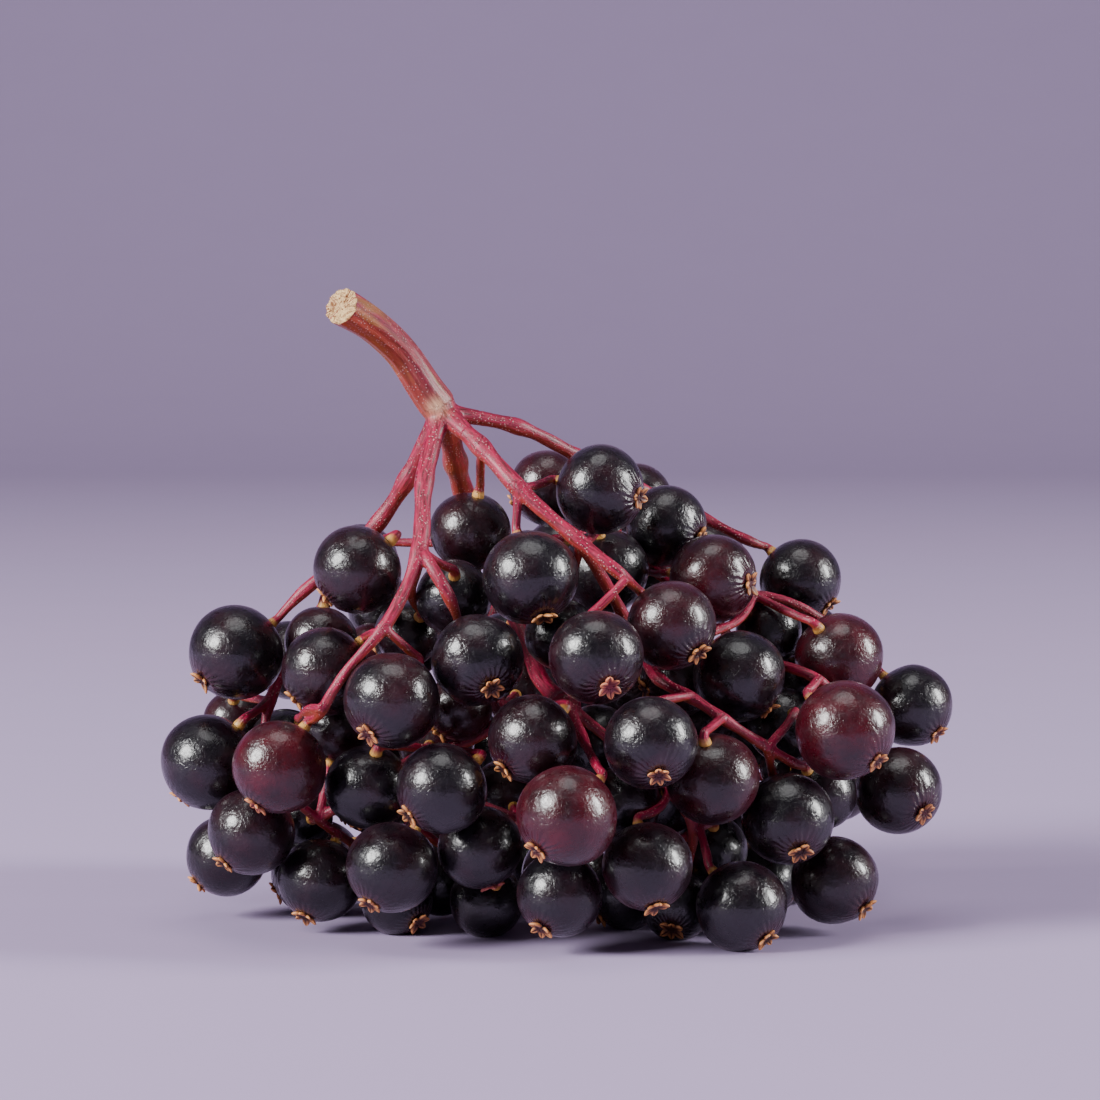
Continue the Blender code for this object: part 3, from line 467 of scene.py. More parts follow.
def line_lengths(points):
    """How far along a line each of its points is."""
    steps = np.linalg.norm(np.diff(points, axis=0), axis=1)
    return np.concatenate([[0.0], np.cumsum(steps)])


class Settling:
    """Moves berries, crowns and stems apart until none crosses another."""

    STEPS = 260
    PULL_UNTIL = 200
    PAIR_STEPS = 8
    PAIR_REACH = 1.6
    TREE_REACH = 4.0
    SPRAY_GAP = 0.12
    NODE_GAP = 0.42
    STEM_GAP = 0.20
    STEM_LIFT = 0.2
    CROWN_MARGIN = 0.08
    BERRY_PULL = {True: 0.12, False: 0.015}
    BERRY_EASE = {True: 0.6, False: 1.0}
    CROWN_PULL = {True: 0.05, False: 0.0}
    CROWN_EASE = 0.8
    FORK_PULL = 0.03
    FORK_EASE = 1.2
    STEM_PULL = 0.02
    STEM_EASE = 2.5

    def __init__(self, forks, berries, strands):
        self.forks = forks
        self.berries = berries
        self.strands = strands
        self.rows = []
        self.branch_reach = []
        self.fork_at = []
        self.paths = []
        self.add_particles()
        columns = [np.array(column) for column in zip(*self.rows)]
        self.place, self.radius, self.ease, pull, self.owner, self.spray, self.is_stem = columns
        self.start = self.place.copy()
        self.pull = pull[:, None]
        self.ease[self.fork_at[0]] = HUB_EASE
        self.low = np.where(self.is_stem, self.radius + self.STEM_LIFT, self.radius)
        self.low[: len(self.berries)] -= RESTING_SINK
        self.near_by_tree = self.find_near_by_tree()

    def add(self, place, radius, ease, pull, owner, spray, is_stem, reach=None):
        """Note one round of the cluster, and how far the forks at its ends are along the stems."""
        self.rows.append((place, radius, ease, pull, owner, spray, is_stem))
        self.branch_reach.append(reach or {})
        return len(self.rows) - 1

    def add_particles(self):
        """Stand a round for each berry, crown and fork, and one for each point of a stem."""
        names = sorted(set(SPRAY_NAMES.values()))
        sprays = [names.index(self.forks[berry.fork].spray) for berry in self.berries]
        for index, berry in enumerate(self.berries):
            pull = self.BERRY_PULL[berry.seen]
            ease = self.BERRY_EASE[berry.seen]
            self.add(berry.centre, berry.radius, ease, pull, index, sprays[index], False)
        for index, berry in enumerate(self.berries):
            crown = berry.centre + berry.axis * (berry.radius - CROWN_DEPTH)
            radius = CROWN_RADIUS + self.CROWN_MARGIN
            pull = self.CROWN_PULL[berry.seen]
            self.add(crown, radius, self.CROWN_EASE, pull, index, sprays[index], False)
        for index, fork in enumerate(self.forks):
            spray = names.index(fork.spray)
            radius = fork.diameter * 0.6
            settings = (self.FORK_EASE, self.FORK_PULL, -1, spray, True, {index: 0.0})
            self.fork_at.append(self.add(fork.place, radius, *settings))
        for strand in self.strands:
            spray = names.index(strand.spray)
            along = line_lengths(strand.points)
            path = [self.fork_at[strand.start]]
            last = len(strand.points) - (1 if strand.berry < 0 else 0)
            for step in range(1, last):
                reach = {strand.start: along[step]}
                if strand.end >= 0:
                    reach[strand.end] = along[-1] - along[step]
                tied = strand.berry >= 0 and step >= last - 2
                owner = strand.berry if tied else -1
                settings = (self.STEM_EASE, self.STEM_PULL, owner, spray, True, reach)
                path.append(self.add(strand.points[step], strand.diameter / 2.0, *settings))
            if strand.berry < 0:
                path.append(self.fork_at[strand.end])
            self.paths.append(path)

    def find_near_by_tree(self):
        """Mark pairs of stem points that are neighbours along the stems."""
        count = len(self.place)
        shortest = np.full((count, count), FAR, dtype=np.float32)
        for fork in range(len(self.forks)):
            members = [i for i in range(count) if fork in self.branch_reach[i]]
            reach = np.array([self.branch_reach[i][fork] for i in members])
            block = np.ix_(members, members)
            shortest[block] = np.minimum(shortest[block], reach[:, None] + reach[None, :])
        near = shortest < self.TREE_REACH
        for path in self.paths:
            near[np.ix_(path, path)] = True
        return near

    def find_pairs(self):
        """List the pairs that may touch in the next few steps, with the gap that each keeps."""
        offset = self.place[:, None, :] - self.place[None, :, :]
        distance = np.sqrt((offset**2).sum(axis=2))
        reach = self.radius[:, None] + self.radius[None, :] + self.PAIR_REACH
        same_owner = (self.owner[:, None] == self.owner[None, :]) & (self.owner[:, None] >= 0)
        close = (distance < reach) & ~same_owner & ~self.near_by_tree
        first, second = np.nonzero(np.triu(close, 1))
        same_spray = self.spray[first] == self.spray[second]
        both_stems = self.is_stem[first] & self.is_stem[second]
        gap = np.where(same_spray, self.SPRAY_GAP, self.NODE_GAP)
        gap += np.where(both_stems, self.STEM_GAP, 0.0)
        return first, second, gap

    def push_apart(self, pairs):
        """Move the rounds of each pair that is too close, the easier one further."""
        first, second, gap = pairs
        offset = self.place[first] - self.place[second]
        distance = np.maximum(np.linalg.norm(offset, axis=1), 1e-6)
        need = self.radius[first] + self.radius[second] + gap - distance
        hit = need > 0.0
        first = first[hit]
        second = second[hit]
        share = self.ease[first] / (self.ease[first] + self.ease[second])
        push = offset[hit] / distance[hit][:, None] * need[hit][:, None]
        moved = np.zeros_like(self.place)
        count = np.ones(len(self.place))
        np.add.at(moved, first, push * share[:, None])
        np.add.at(moved, second, -push * (1.0 - share)[:, None])
        np.add.at(count, first, 0.35)
        np.add.at(count, second, 0.35)
        self.place += moved / count[:, None] * 1.1

    def smooth(self, amount):
        """Take bends out of the stems."""
        for path in self.paths:
            points = self.place[path]
            middle = (points[:-2] + points[2:]) / 2.0
            self.place[path[1:-1]] += (middle - points[1:-1]) * amount

    def rest_low_berries(self):
        """Let the berries that come close to the surface rest on it."""
        count = len(self.berries)
        above = self.place[:count, 2] - self.low[:count]
        self.place[:count, 2] -= np.where(above < RESTING_REACH, above * 0.3, 0.0)

    def tie(self):
        """Keep each crown on its berry, and each stalk's end on the side opposite to it."""
        count = len(self.berries)
        for index, berry in enumerate(self.berries):
            centre = self.place[index]
            berry.axis = unit(self.place[count + index] - centre)
            self.place[count + index] = centre + berry.axis * (berry.radius - CROWN_DEPTH)
        for strand, path in zip(self.strands, self.paths):
            if strand.berry >= 0:
                berry = self.berries[strand.berry]
                centre = self.place[strand.berry]
                self.place[path[-1]] = centre - berry.axis * (berry.radius - STALK_DEPTH)
                self.place[path[-2]] = centre - berry.axis * (berry.radius + STALK_LEAD)

    def run(self):
        """Settle everything, and give the berries, forks and stems their new places."""
        hub = self.place[self.fork_at[0]].copy()
        for step in range(self.STEPS):
            if step % self.PAIR_STEPS == 0:
                pairs = self.find_pairs()
            self.push_apart(pairs)
            if step < self.PULL_UNTIL:
                self.place += (self.start - self.place) * self.pull
                self.smooth(0.25)
            else:
                self.smooth(0.06)
            self.rest_low_berries()
            self.place[:, 2] = np.maximum(self.place[:, 2], self.low)
            self.place[self.fork_at[0]] = hub
            self.tie()
        for index, berry in enumerate(self.berries):
            berry.centre = self.place[index]
        for index, fork in enumerate(self.forks):
            fork.place = self.place[self.fork_at[index]]
        for strand, path in zip(self.strands, self.paths):
            strand.points = self.place[path]


def fill_dark_gaps(forks, berries, strands):
    """Hang a berry behind each dark gap, as near to the front as there is room for it."""
    stems = np.vstack([strand.points for strand in strands])
    tips = np.array([fork.place for fork in forks])
    for across, up in DARK_GAPS:
        sight = np.array([across, up])
        views = [(view_of(berry.centre), berry.radius) for berry in berries]
        if any(np.linalg.norm(at - sight) < radius * scale for (at, scale), radius in views):
            continue
        places = [
            (seen_at(across, up, depth), radius)
            for radius in FILL_RADII
            for depth in np.arange(FILL_FRONT, FILL_BACK, 0.5)
        ]
        for centre, radius in places:
            free = min(np.linalg.norm(centre - other.centre) - other.radius for other in berries)
            stem_free = np.linalg.norm(stems - centre, axis=1).min() - STALK_DIAMETER / 2.0
            if min(free, stem_free, centre[2]) < radius + FILL_CLEARANCE:
                continue
            reach = np.linalg.norm(tips - centre, axis=1)
            reach[0] = FAR
            fork = int(np.argmin(reach))
            start = forks[fork].place
            axis = unit(centre - start)
            berries.append(Berry(fork, centre, radius, axis, False, True))
            stalk = curve(start, centre - axis * (radius - STALK_DEPTH), axis, axis, FILL_POINTS)
            strand = Strand(forks[fork].spray, fork, -1, len(berries) - 1, stalk, STALK_DIAMETER)
            strands.append(strand)
            break


def lay_out():
    """Place every berry, fork and stem of the cluster, all moved to the middle of its footprint."""
    draw = np.random.default_rng(SEED)
    forks, number = read_forks()
    berries = read_berries(forks, number, draw)
    add_hidden_berries(berries, draw)
    join_hidden_berries(forks, number, berries)
    strands = draw_strands(forks, berries)
    Settling(forks, berries, strands).run()
    fill_dark_gaps(forks, berries, strands)
    for berry in berries:
        berry.centre = berry.centre + MIDDLE_SHIFT
    for fork in forks:
        fork.place = fork.place + MIDDLE_SHIFT
    for strand in strands:
        strand.points = strand.points + MIDDLE_SHIFT
    return forks, berries, strands


forks, berries, strands = lay_out()
SPRAYS = sorted({fork.spray for fork in forks} - {"peduncle"})


# Main stalk
# The cut stalk of the head: a woody, ridged stem with a smooth crimson skin, streaked with
# yellow-green, that swells where five rays part. It grew in one piece and was cut with shears.
STALK_VOXEL = 0.00012
SLANT = [0.31, 0.17, 0.93]
HUB_STUB = 3.2
NODE_OVERLAP = 0.5
HUB_SWELLING = 0.5
HUB_LENGTH = 1.5
RIDGE_COUNT = 11
RIDGE_HEIGHT = 0.04
HUB_PATCH = np.array([-0.4, -1.5, 0.45])
CUT_RINGS = [(0.96, 0.03), (0.90, 0.01), (0.75, -0.03), (0.60, -0.02), (0.40, 0.0)]


def smooth_line(points, spacing):
    """Thread a smooth line through the points, with a point at every spacing."""
    padded = np.vstack([2 * points[0] - points[1], points, 2 * points[-1] - points[-2]])
    fine = []
    for before, here, after, later in zip(padded, padded[1:], padded[2:], padded[3:]):
        for share in np.linspace(0.0, 1.0, 6, endpoint=False):
            squared = share**2
            cubed = share**3
            fine.append(
                0.5
                * (
                    2 * here
                    + (after - before) * share
                    + (2 * before - 5 * here + 4 * after - later) * squared
                    + (3 * here - before - 3 * after + later) * cubed
                )
            )
    fine.append(points[-1])
    fine = np.array(fine)
    along = line_lengths(fine)
    wanted = np.linspace(0.0, along[-1], max(3, int(along[-1] / spacing) + 1))
    return np.stack([np.interp(wanted, along, fine[:, axis]) for axis in range(3)], axis=1)


def relaxed(points, rounds):
    """Ease the kinks out of a line, with its ends and its last stretch kept."""
    eased = points.copy()
    for _ in range(rounds):
        middle = (eased[:-2] + eased[2:]) / 2.0
        eased[1:-2] += (middle[:-1] - eased[1:-2]) * 0.4
    return eased


def select_only(*pieces):
    """Select these pieces and nothing else, with the first one active."""
    bpy.ops.object.select_all(action="DESELECT")
    for piece in pieces:
        piece.select_set(True)
    bpy.context.view_layer.objects.active = pieces[0]


def apply_modifier(piece, name, kind, **settings):
    """Add a modifier with its settings and apply it."""
    modifier = piece.modifiers.new(name, kind)
    for setting, value in settings.items():
        setattr(modifier, setting, value)
    select_only(piece)
    bpy.ops.object.modifier_apply(modifier=name)


def skinned_stems(name, lines):
    """Sweep round stems along their lines and grow one skin over them, with filled forks."""
    bpy.ops.object.select_all(action="DESELECT")
    bpy.ops.object.add(type="CURVE", location=(0.0, 0.0, 0.0))
    piece = bpy.context.object
    piece.name = name
    piece.data.name = name
    piece.data.dimensions = "3D"
    piece.data.bevel_depth = MM
    piece.data.bevel_resolution = 4
    piece.data.use_fill_caps = True
    for points, radii in lines:
        spline = piece.data.splines.new("POLY")
        spline.points.add(len(points) - 1)
        for point, place, radius in zip(spline.points, points, radii):
            point.co = (*(place * MM), 1.0)
            point.radius = radius
    bpy.ops.object.convert(target="MESH")
    piece = bpy.context.object
    apply_modifier(piece, "skin", "REMESH", mode="VOXEL", voxel_size=STALK_VOXEL)
    apply_modifier(piece, "fillets", "SMOOTH", factor=0.5, iterations=8)
    piece.data.shade_smooth()
    return piece


def read_points(mesh):
    """The places of a mesh's points, in metres."""
    places = np.empty(len(mesh.vertices) * 3)
    mesh.vertices.foreach_get("co", places)
    return places.reshape(-1, 3)


def read_normals(mesh):
    """The way out of the surface at each of a mesh's points."""
    normals = np.empty(len(mesh.vertices) * 3)
    mesh.vertex_normals.foreach_get("vector", normals)
    return normals.reshape(-1, 3)


def write_points(mesh, places):
    """Put a mesh's points in new places, in metres."""
    mesh.vertices.foreach_set("co", np.ascontiguousarray(places).ravel())
    mesh.update()


def write_attribute(mesh, name, kind, values):
    """Keep a number or a vector for each point of a mesh, for its material to read."""
    layer = mesh.attributes.new(name, kind, "POINT")
    field = "value" if kind == "FLOAT" else "vector"
    layer.data.foreach_set(field, np.ascontiguousarray(values, dtype=np.float32).ravel())


def map_bark(piece, lines):
    """Wrap bark coordinates round the stems: across and along the grain, and nearness to a berry."""
    rows = []
    for points, radii, tip in lines:
        along = line_lengths(points)
        tangent = np.gradient(points, axis=0)
        side = np.cross(unit(tangent[0]), SLANT)
        for index, place in enumerate(points):
            heading = unit(tangent[index])
            side = unit(side - heading * float(side @ heading))
            left = along[-1] - along[index] if tip else FAR
            rows.append((*place, *heading, *side, along[index], left, radii[index]))
    rows = np.array(rows)
    tree = KDTree(len(rows))
    for index, row in enumerate(rows):
        tree.insert(Vector(row[:3]), index)
    tree.balance()
    points = read_points(piece.data) / MM
    rows = rows[[tree.find(Vector(point))[1] for point in points]]
    heading = rows[:, 3:6]
    side = rows[:, 6:9]
    run, left, width = rows[:, 9:].T
    offset = points - rows[:, :3]
    ahead = (offset * heading).sum(axis=1)
    across = (offset * side).sum(axis=1)
    other = (offset * np.cross(heading, side)).sum(axis=1)
    reach = np.maximum(np.hypot(across, other), 0.05)
    bark = np.stack([across / reach * width, other / reach * width, run + ahead], axis=1)
    write_attribute(piece.data, "bark", "FLOAT_VECTOR", bark)
    write_attribute(piece.data, "tip", "FLOAT", left - ahead)
    write_attribute(piece.data, "girth", "FLOAT", width)
    # Painted shade: how far each point faces down, for the stem material to paint orange-brown.
    write_attribute(piece.data, "shaded_underside", "FLOAT", 0.5 - 0.5 * read_normals(piece.data)[:, 2])
    return bark, width


def swelling(along, knots, amount, length):
    """How much a stem swells near its forks."""
    grown = np.ones(len(along))
    for knot in knots:
        grown += amount * np.exp(-(((along - knot) / length) ** 2))
    return grown


KNOT_SWELLING = 0.16
KNOT_LENGTH = 0.9
KNOB_FORK = "m_1"
KNOB_SWELLING = 0.8
STALK_FLARE = 0.14
STALK_ROOT = 0.35
STALK_TRIM = 0.92
STEM_STEP = 0.25
STALK_STEP = 0.3
CUT_OVERSHOOT = 1.2
WAVE = 0.04


def next_strand(strand):
    """The stem that carries on where this one forks: the thickest, then the straightest."""
    best = None
    best_rank = None
    heading = unit(strand.points[-1] - strand.points[-2])
    for index, other in enumerate(strands):
        if other.start == strand.end and other.spray == strand.spray:
            straightness = float(heading @ unit(other.points[1] - other.points[0]))
            rank = (other.berry < 0, other.diameter + 0.4 * straightness)
            if best is None or rank > best_rank:
                best = index
                best_rank = rank
    return best


def stem_lines():
    """Thread each stem through its forks to a berry, with its thickness along the way."""
    carried_on = {
        index: next_strand(strand) for index, strand in enumerate(strands) if strand.end >= 0
    }
    followers = set(carried_on.values())
    lines = {spray: [] for spray in SPRAYS}
    rays = []
    for index, strand in enumerate(strands):
        if index in followers:
            continue
        chain = [strand]
        follower = carried_on.get(index)
        while follower is not None:
            chain.append(strands[follower])
            follower = carried_on.get(follower)
        points = chain[0].points
        widths = [np.full(len(points), chain[0].diameter / 2.0)]
        knots = []
        for link in chain[1:]:
            knots.append(len(points) - 1)
            points = np.vstack([points, link.points[1:]])
            widths.append(np.full(len(link.points) - 1, link.diameter / 2.0))
        coarse = relaxed(points, 5)
        along = line_lengths(coarse)
        line = smooth_line(coarse, STEM_STEP)
        line_along = line_lengths(line)
        radii = np.interp(line_along, along * line_along[-1] / along[-1], np.concatenate(widths))
        radii = np.convolve(np.pad(radii, 4, mode="edge"), np.ones(9) / 9, mode="valid")
        radii *= swelling(line_along, along[knots], KNOT_SWELLING, KNOT_LENGTH)
        for knot, link in zip(knots, chain[1:]):
            if forks[link.start].name == KNOB_FORK:
                radii *= swelling(line_along, [along[knot]], KNOB_SWELLING, KNOT_LENGTH)
        radii *= 1.0 + WAVE * np.sin(line_along * 1.9 + index)
        radii *= STALK_TRIM
        has_berry = chain[-1].berry >= 0
        if has_berry:
            line[-1] += unit(line[-1] - line[-2]) * STALK_ROOT
            left = line_along[-1] + STALK_ROOT - line_along
            radii += STALK_FLARE * np.exp(-(((left - 0.75) / 0.4) ** 2))
        if strand.start == 0:
            radii *= 1.0 + HUB_SWELLING * np.exp(-((line_along / HUB_LENGTH) ** 2))
            on_hub = line_along <= HUB_STUB
            rays.append((line[on_hub], radii[on_hub], False))
            kept = line_along >= HUB_STUB - NODE_OVERLAP
            line = line[kept]
            radii = radii[kept] * np.interp(line_along[kept], [HUB_STUB - 0.3, HUB_STUB], [0.97, 1.0])
        lines[strand.spray].append((line, radii, has_berry))
    return lines, rays


all_stem_lines, hub_rays = stem_lines()
stalk_marks = np.array([seen_at(*row[:3]) + MIDDLE_SHIFT for row in PEDUNCLE])
cut_heading = unit(stalk_marks[0] - stalk_marks[1])
overshoot = stalk_marks[0] + cut_heading * CUT_OVERSHOOT
stalk_line = smooth_line(np.vstack([overshoot, stalk_marks]), STALK_STEP)
stalk_along = line_lengths(stalk_line)
mark_along = [CUT_OVERSHOOT + length for length in line_lengths(stalk_marks)]
stalk_radii = np.interp(stalk_along, mark_along, [row[3] / 2.0 for row in PEDUNCLE])
stalk_radii[-3:] *= [0.98, 0.94, 0.85]
stalk_lines = [(stalk_line, stalk_radii, False), *hub_rays]

main_stalk = skinned_stems("main_stalk", [line[:2] for line in stalk_lines])
bark, girth = map_bark(main_stalk, stalk_lines)
turn = np.arctan2(bark[:, 1], bark[:, 0])
ridges = np.sin(turn * RIDGE_COUNT + 0.5 * np.sin(bark[:, 2] * 0.9)) + 0.5 * np.sin(turn * 5 + 1.0)
height = RIDGE_HEIGHT * np.clip((girth - 0.9) / 0.3, 0.0, 1.0) * ridges
patch = np.linalg.norm(read_points(main_stalk.data) / MM - forks[0].place - HUB_PATCH, axis=1)
write_attribute(main_stalk.data, "patch", "FLOAT", 0.7 * np.exp(-((patch / 0.7) ** 2)))
moved = read_points(main_stalk.data) + read_normals(main_stalk.data) * height[:, None] * MM
write_points(main_stalk.data, moved)

select_only(main_stalk)
bpy.ops.object.mode_set(mode="EDIT")
bpy.ops.mesh.select_mode(type="EDGE")
bpy.ops.mesh.select_all(action="SELECT")
bpy.ops.mesh.bisect(plane_co=stalk_marks[0] * MM, plane_no=cut_heading, clear_outer=True)
for size, rise in CUT_RINGS:
    bpy.ops.mesh.extrude_edges_move()
    bpy.ops.transform.resize(value=(size, size, size), center_override=stalk_marks[0] * MM)
    bpy.ops.transform.translate(value=cut_heading * rise * MM)
bpy.ops.mesh.merge(type="CENTER")
bpy.ops.object.mode_set(mode="OBJECT")


def srgb(code):
    """Turn an sRGB hex colour into the linear colour that a shader takes."""
    channels = [int(code[index : index + 2], 16) / 255.0 for index in (1, 3, 5)]
    linear = [c / 12.92 if c <= 0.04045 else ((c + 0.055) / 1.055) ** 2.4 for c in channels]
    return (*linear, 1.0)


def add_node(material, kind, inputs=None, **settings):
    """Add a node with its settings, and set or link its inputs; a node means its first output."""
    made = material.node_tree.nodes.new("ShaderNode" + kind)
    for name, value in settings.items():
        setattr(made, name, value)
    for name, value in (inputs or {}).items():
        if isinstance(value, bpy.types.Node):
            value = value.outputs[0]
        if isinstance(value, bpy.types.NodeSocket):
            material.node_tree.links.new(value, made.inputs[name])
        else:
            made.inputs[name].default_value = value
    return made


def empty_material(name):
    """A material that has no nodes yet."""
    material = bpy.data.materials.new(name)
    material.use_nodes = True
    material.node_tree.nodes.clear()
    return material


def painted(material, ground, layers):
    """Lay colours over a ground, each with the share of the skin it covers and its strength."""
    for share, strength, colour in layers:
        share = add_node(material, "Math", {0: share, 1: strength}, operation="MULTIPLY")
        # A mix takes its two colours at the inputs 6 and 7.
        mixed = {0: share, 6: ground, 7: colour}
        ground = add_node(material, "Mix", mixed, data_type="RGBA").outputs[2]
    return ground


# The skin is crimson, and brown with olive and tan streaks on old wood; its downward-facing sides
# carry painted shade in orange-brown. Fibres run along it, pale raised pores of 0.1 mm catch the
# light, and it turns yellow where a berry is held. A pattern's scale is its features in a millimetre,
# and its relief is in millimetres.
BARK_CRIMSON = "#A80440"
BARK_DARK = "#4C0512"
BARK_OLD = "#6E2A1C"
BARK_OLIVE = "#9A7430"
BARK_TAN = "#E0A276"
PORE_PALE = "#F0C0B8"
PATCH_CREAM = "#F2C79A"
UNDERSIDE_SHADE_ORANGE = "#B4561E"
CAP_YELLOW = "#D09A4A"
FIBRES_PER_MM = 6.0
FIBRE_STRETCH = 0.12
BANDS_PER_MM = 1.3
BLOTCHES_PER_MM = 0.7
PORES_PER_MM = 4.2
BARK_RELIEF = 0.07


def stalk_skin():
    """Elder stalk skin: smooth waxy crimson bark with fine fibres and raised pores."""
    material = empty_material("elder_stalk_skin")
    bark = add_node(material, "Attribute", attribute_name="bark").outputs["Vector"]
    girth = add_node(material, "Attribute", attribute_name="girth").outputs["Fac"]
    shaded_underside = add_node(material, "Attribute", attribute_name="shaded_underside").outputs["Fac"]
    patch = add_node(material, "Attribute", attribute_name="patch").outputs["Fac"]
    tip = add_node(material, "Attribute", attribute_name="tip").outputs["Fac"]
    place = add_node(material, "TexCoord").outputs["Object"]
    along = add_node(material, "Mapping", {"Vector": bark, "Scale": (1.0, 1.0, FIBRE_STRETCH)})
    fibre = {"Vector": along, "Scale": FIBRES_PER_MM, "Detail": 4.0, "Roughness": 0.65}
    fibres = add_node(material, "TexNoise", fibre)
    bands = add_node(material, "TexNoise", {"Vector": along, "Scale": BANDS_PER_MM})
    blotch = {"Vector": place, "Scale": BLOTCHES_PER_MM / MM, "Detail": 3.0, "Roughness": 0.55}
    blotches = add_node(material, "TexNoise", blotch)
    pores = add_node(material, "TexVoronoi", {"Vector": place, "Scale": PORES_PER_MM / MM})

    crimson = add_node(material, "MapRange", {"Value": fibres, "From Min": 0.34, "From Max": 0.62})
    old = add_node(material, "MapRange", {"Value": girth, "From Min": 0.80, "From Max": 1.20})
    olive = add_node(material, "MapRange", {"Value": bands, "From Min": 0.54, "From Max": 0.70})
    olive = add_node(material, "Math", {0: olive, 1: old}, operation="MULTIPLY")
    tan = add_node(material, "MapRange", {"Value": fibres, "From Min": 0.62, "From Max": 0.72})
    tan = add_node(material, "Math", {0: tan, 1: old}, operation="MULTIPLY")
    # Painted shade: orange-brown laid on the downward-facing sides of the stems.
    underside_shade = add_node(material, "MapRange", {"Value": shaded_underside, "From Min": 0.50, "From Max": 0.95})
    pore = add_node(material, "MapRange", {"Value": pores, "From Min": 0.30, "From Max": 0.15})
    spot = add_node(material, "MapRange", {"Value": blotches, "From Min": 0.42, "From Max": 0.52})
    pore = add_node(material, "Math", {0: pore, 1: spot}, operation="MULTIPLY")
    grain = {"Value": fibres, "From Min": 0.36, "From Max": 0.54, "To Min": 0.35, "To Max": 1.1}
    cream = {0: patch, 1: add_node(material, "MapRange", grain)}
    cream = add_node(material, "Math", cream, operation="MULTIPLY", use_clamp=True)
    cap = add_node(material, "MapRange", {"Value": tip, "From Min": 1.30, "From Max": 1.0})
    layers = [
        (crimson, 1.0, srgb(BARK_CRIMSON)),
        (old, 0.4, srgb(BARK_OLD)),
        (olive, 0.55, srgb(BARK_OLIVE)),
        (tan, 0.5, srgb(BARK_TAN)),
        (underside_shade, 0.6, srgb(UNDERSIDE_SHADE_ORANGE)),
        (pore, 0.5, srgb(PORE_PALE)),
        (cream, 1.0, srgb(PATCH_CREAM)),
        (cap, 1.0, srgb(CAP_YELLOW)),
    ]
    skin = painted(material, srgb(BARK_DARK), layers)

    relief = add_node(material, "Math", {0: pore, 1: 0.7, 2: fibres}, operation="MULTIPLY_ADD")
    wax = {"Value": fibres, "From Min": 0.3, "From Max": 0.7, "To Min": 0.38, "To Max": 0.55}
    shader_inputs = {
        "Base Color": skin,
        "Roughness": add_node(material, "MapRange", wax),
        "Normal": add_node(material, "Bump", {"Height": relief, "Distance": BARK_RELIEF * MM}),
        "Coat Weight": 0.15,
        "Coat Roughness": 0.25,
    }
    shader = add_node(material, "BsdfPrincipled", shader_inputs)
    add_node(material, "OutputMaterial", {"Surface": shader})
    return material


# The cut shows pale straw wood flecked with dark fibres, dry and matt.
WOOD_STRAW = "#E2BE86"
WOOD_BROWN = "#7E4A20"
GRAINS_PER_MM = 3.6
WOOD_RELIEF = 0.1
CUT_DEPTH = 0.16


def cut_wood():
    """Cut elder wood: dry, matt and straw-coloured, with coarse dark fibres."""
    material = empty_material("cut_elder_wood")
    place = add_node(material, "TexCoord").outputs["Object"]
    grain = {
        "Vector": place,
        "Scale": GRAINS_PER_MM / MM,
        "Detail": 4.0,
        "Roughness": 0.7,
        "Distortion": 1.2,
    }
    grain = add_node(material, "TexNoise", grain)
    straw = add_node(material, "MapRange", {"Value": grain, "From Min": 0.40, "From Max": 0.54})
    shader_inputs = {
        "Base Color": painted(material, srgb(WOOD_BROWN), [(straw, 1.0, srgb(WOOD_STRAW))]),
        "Roughness": 0.8,
        "Normal": add_node(material, "Bump", {"Height": grain, "Distance": WOOD_RELIEF * MM}),
    }
    shader = add_node(material, "BsdfPrincipled", shader_inputs)
    add_node(material, "OutputMaterial", {"Surface": shader})
    return material


bark_skin = stalk_skin()
main_stalk.data.materials.clear()
main_stalk.data.materials.append(bark_skin)
main_stalk.data.materials.append(cut_wood())
for face in main_stalk.data.polygons:
    above = (np.array(face.center) / MM - stalk_marks[0]) @ cut_heading
    if above > -CUT_DEPTH and abs(np.array(face.normal) @ cut_heading) > 0.5:
        face.material_index = 1
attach(main_stalk, "root")
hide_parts("peduncle")


# Rays and berry stalks
# Each ray branches into thinner and thinner stalks, the last ones under 1 mm thick, and every
# berry sits on a stalk of its own that flares into a small pale cap. All grew in one piece.
for spray in SPRAYS:
    stalks = skinned_stems(f"{spray}_stalks", [line[:2] for line in all_stem_lines[spray]])
    map_bark(stalks, all_stem_lines[spray])
    stalks.data.materials.clear()
    stalks.data.materials.append(bark_skin)
    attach(stalks, "root")
    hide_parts(spray)


# Berries
# Ripe elderberries, 3.6 to 7.5 mm across: a thin glossy skin, purple-black and wine-red where it is
# less ripe, over juicy flesh. The skin puckers in a ring round the dried calyx.
BERRY_OBLATENESS = 0.965
BERRY_SEGMENTS = 48
BERRY_RINGS = 34
CROWN_RING = 0.34
REDNESS_CURVE = 1.5

bpy.ops.object.select_all(action="DESELECT")
bpy.ops.mesh.primitive_uv_sphere_add(segments=BERRY_SEGMENTS, ring_count=BERRY_RINGS, radius=1.0)
berry_pattern = bpy.context.object
berry_pattern.name = "berry_pattern"
skin_points = read_points(berry_pattern.data)
polar = np.arccos(np.clip(skin_points[:, 2], -1.0, 1.0))
turn = np.arctan2(skin_points[:, 1], skin_points[:, 0])
polar = np.pi * (polar / np.pi) ** 1.3
reach = np.sin(polar)
level = np.cos(polar) * BERRY_OBLATENESS
near_crown = polar < 1.2
collar = 0.016 * np.exp(-(((reach - CROWN_RING) / 0.05) ** 2))
dimple = -0.05 * np.exp(-((reach / 0.24) ** 2))
pleats = 0.006 * np.sin(turn * 16) * np.exp(-(((reach - 0.45) / 0.12) ** 2))
level += np.where(near_crown, collar + dimple + pleats, 0.03 * np.exp(-((reach / 0.25) ** 2)))
skin_points = np.stack([reach * np.cos(turn), reach * np.sin(turn), level], axis=1)
write_points(berry_pattern.data, skin_points)
berry_pattern.data.shade_smooth()

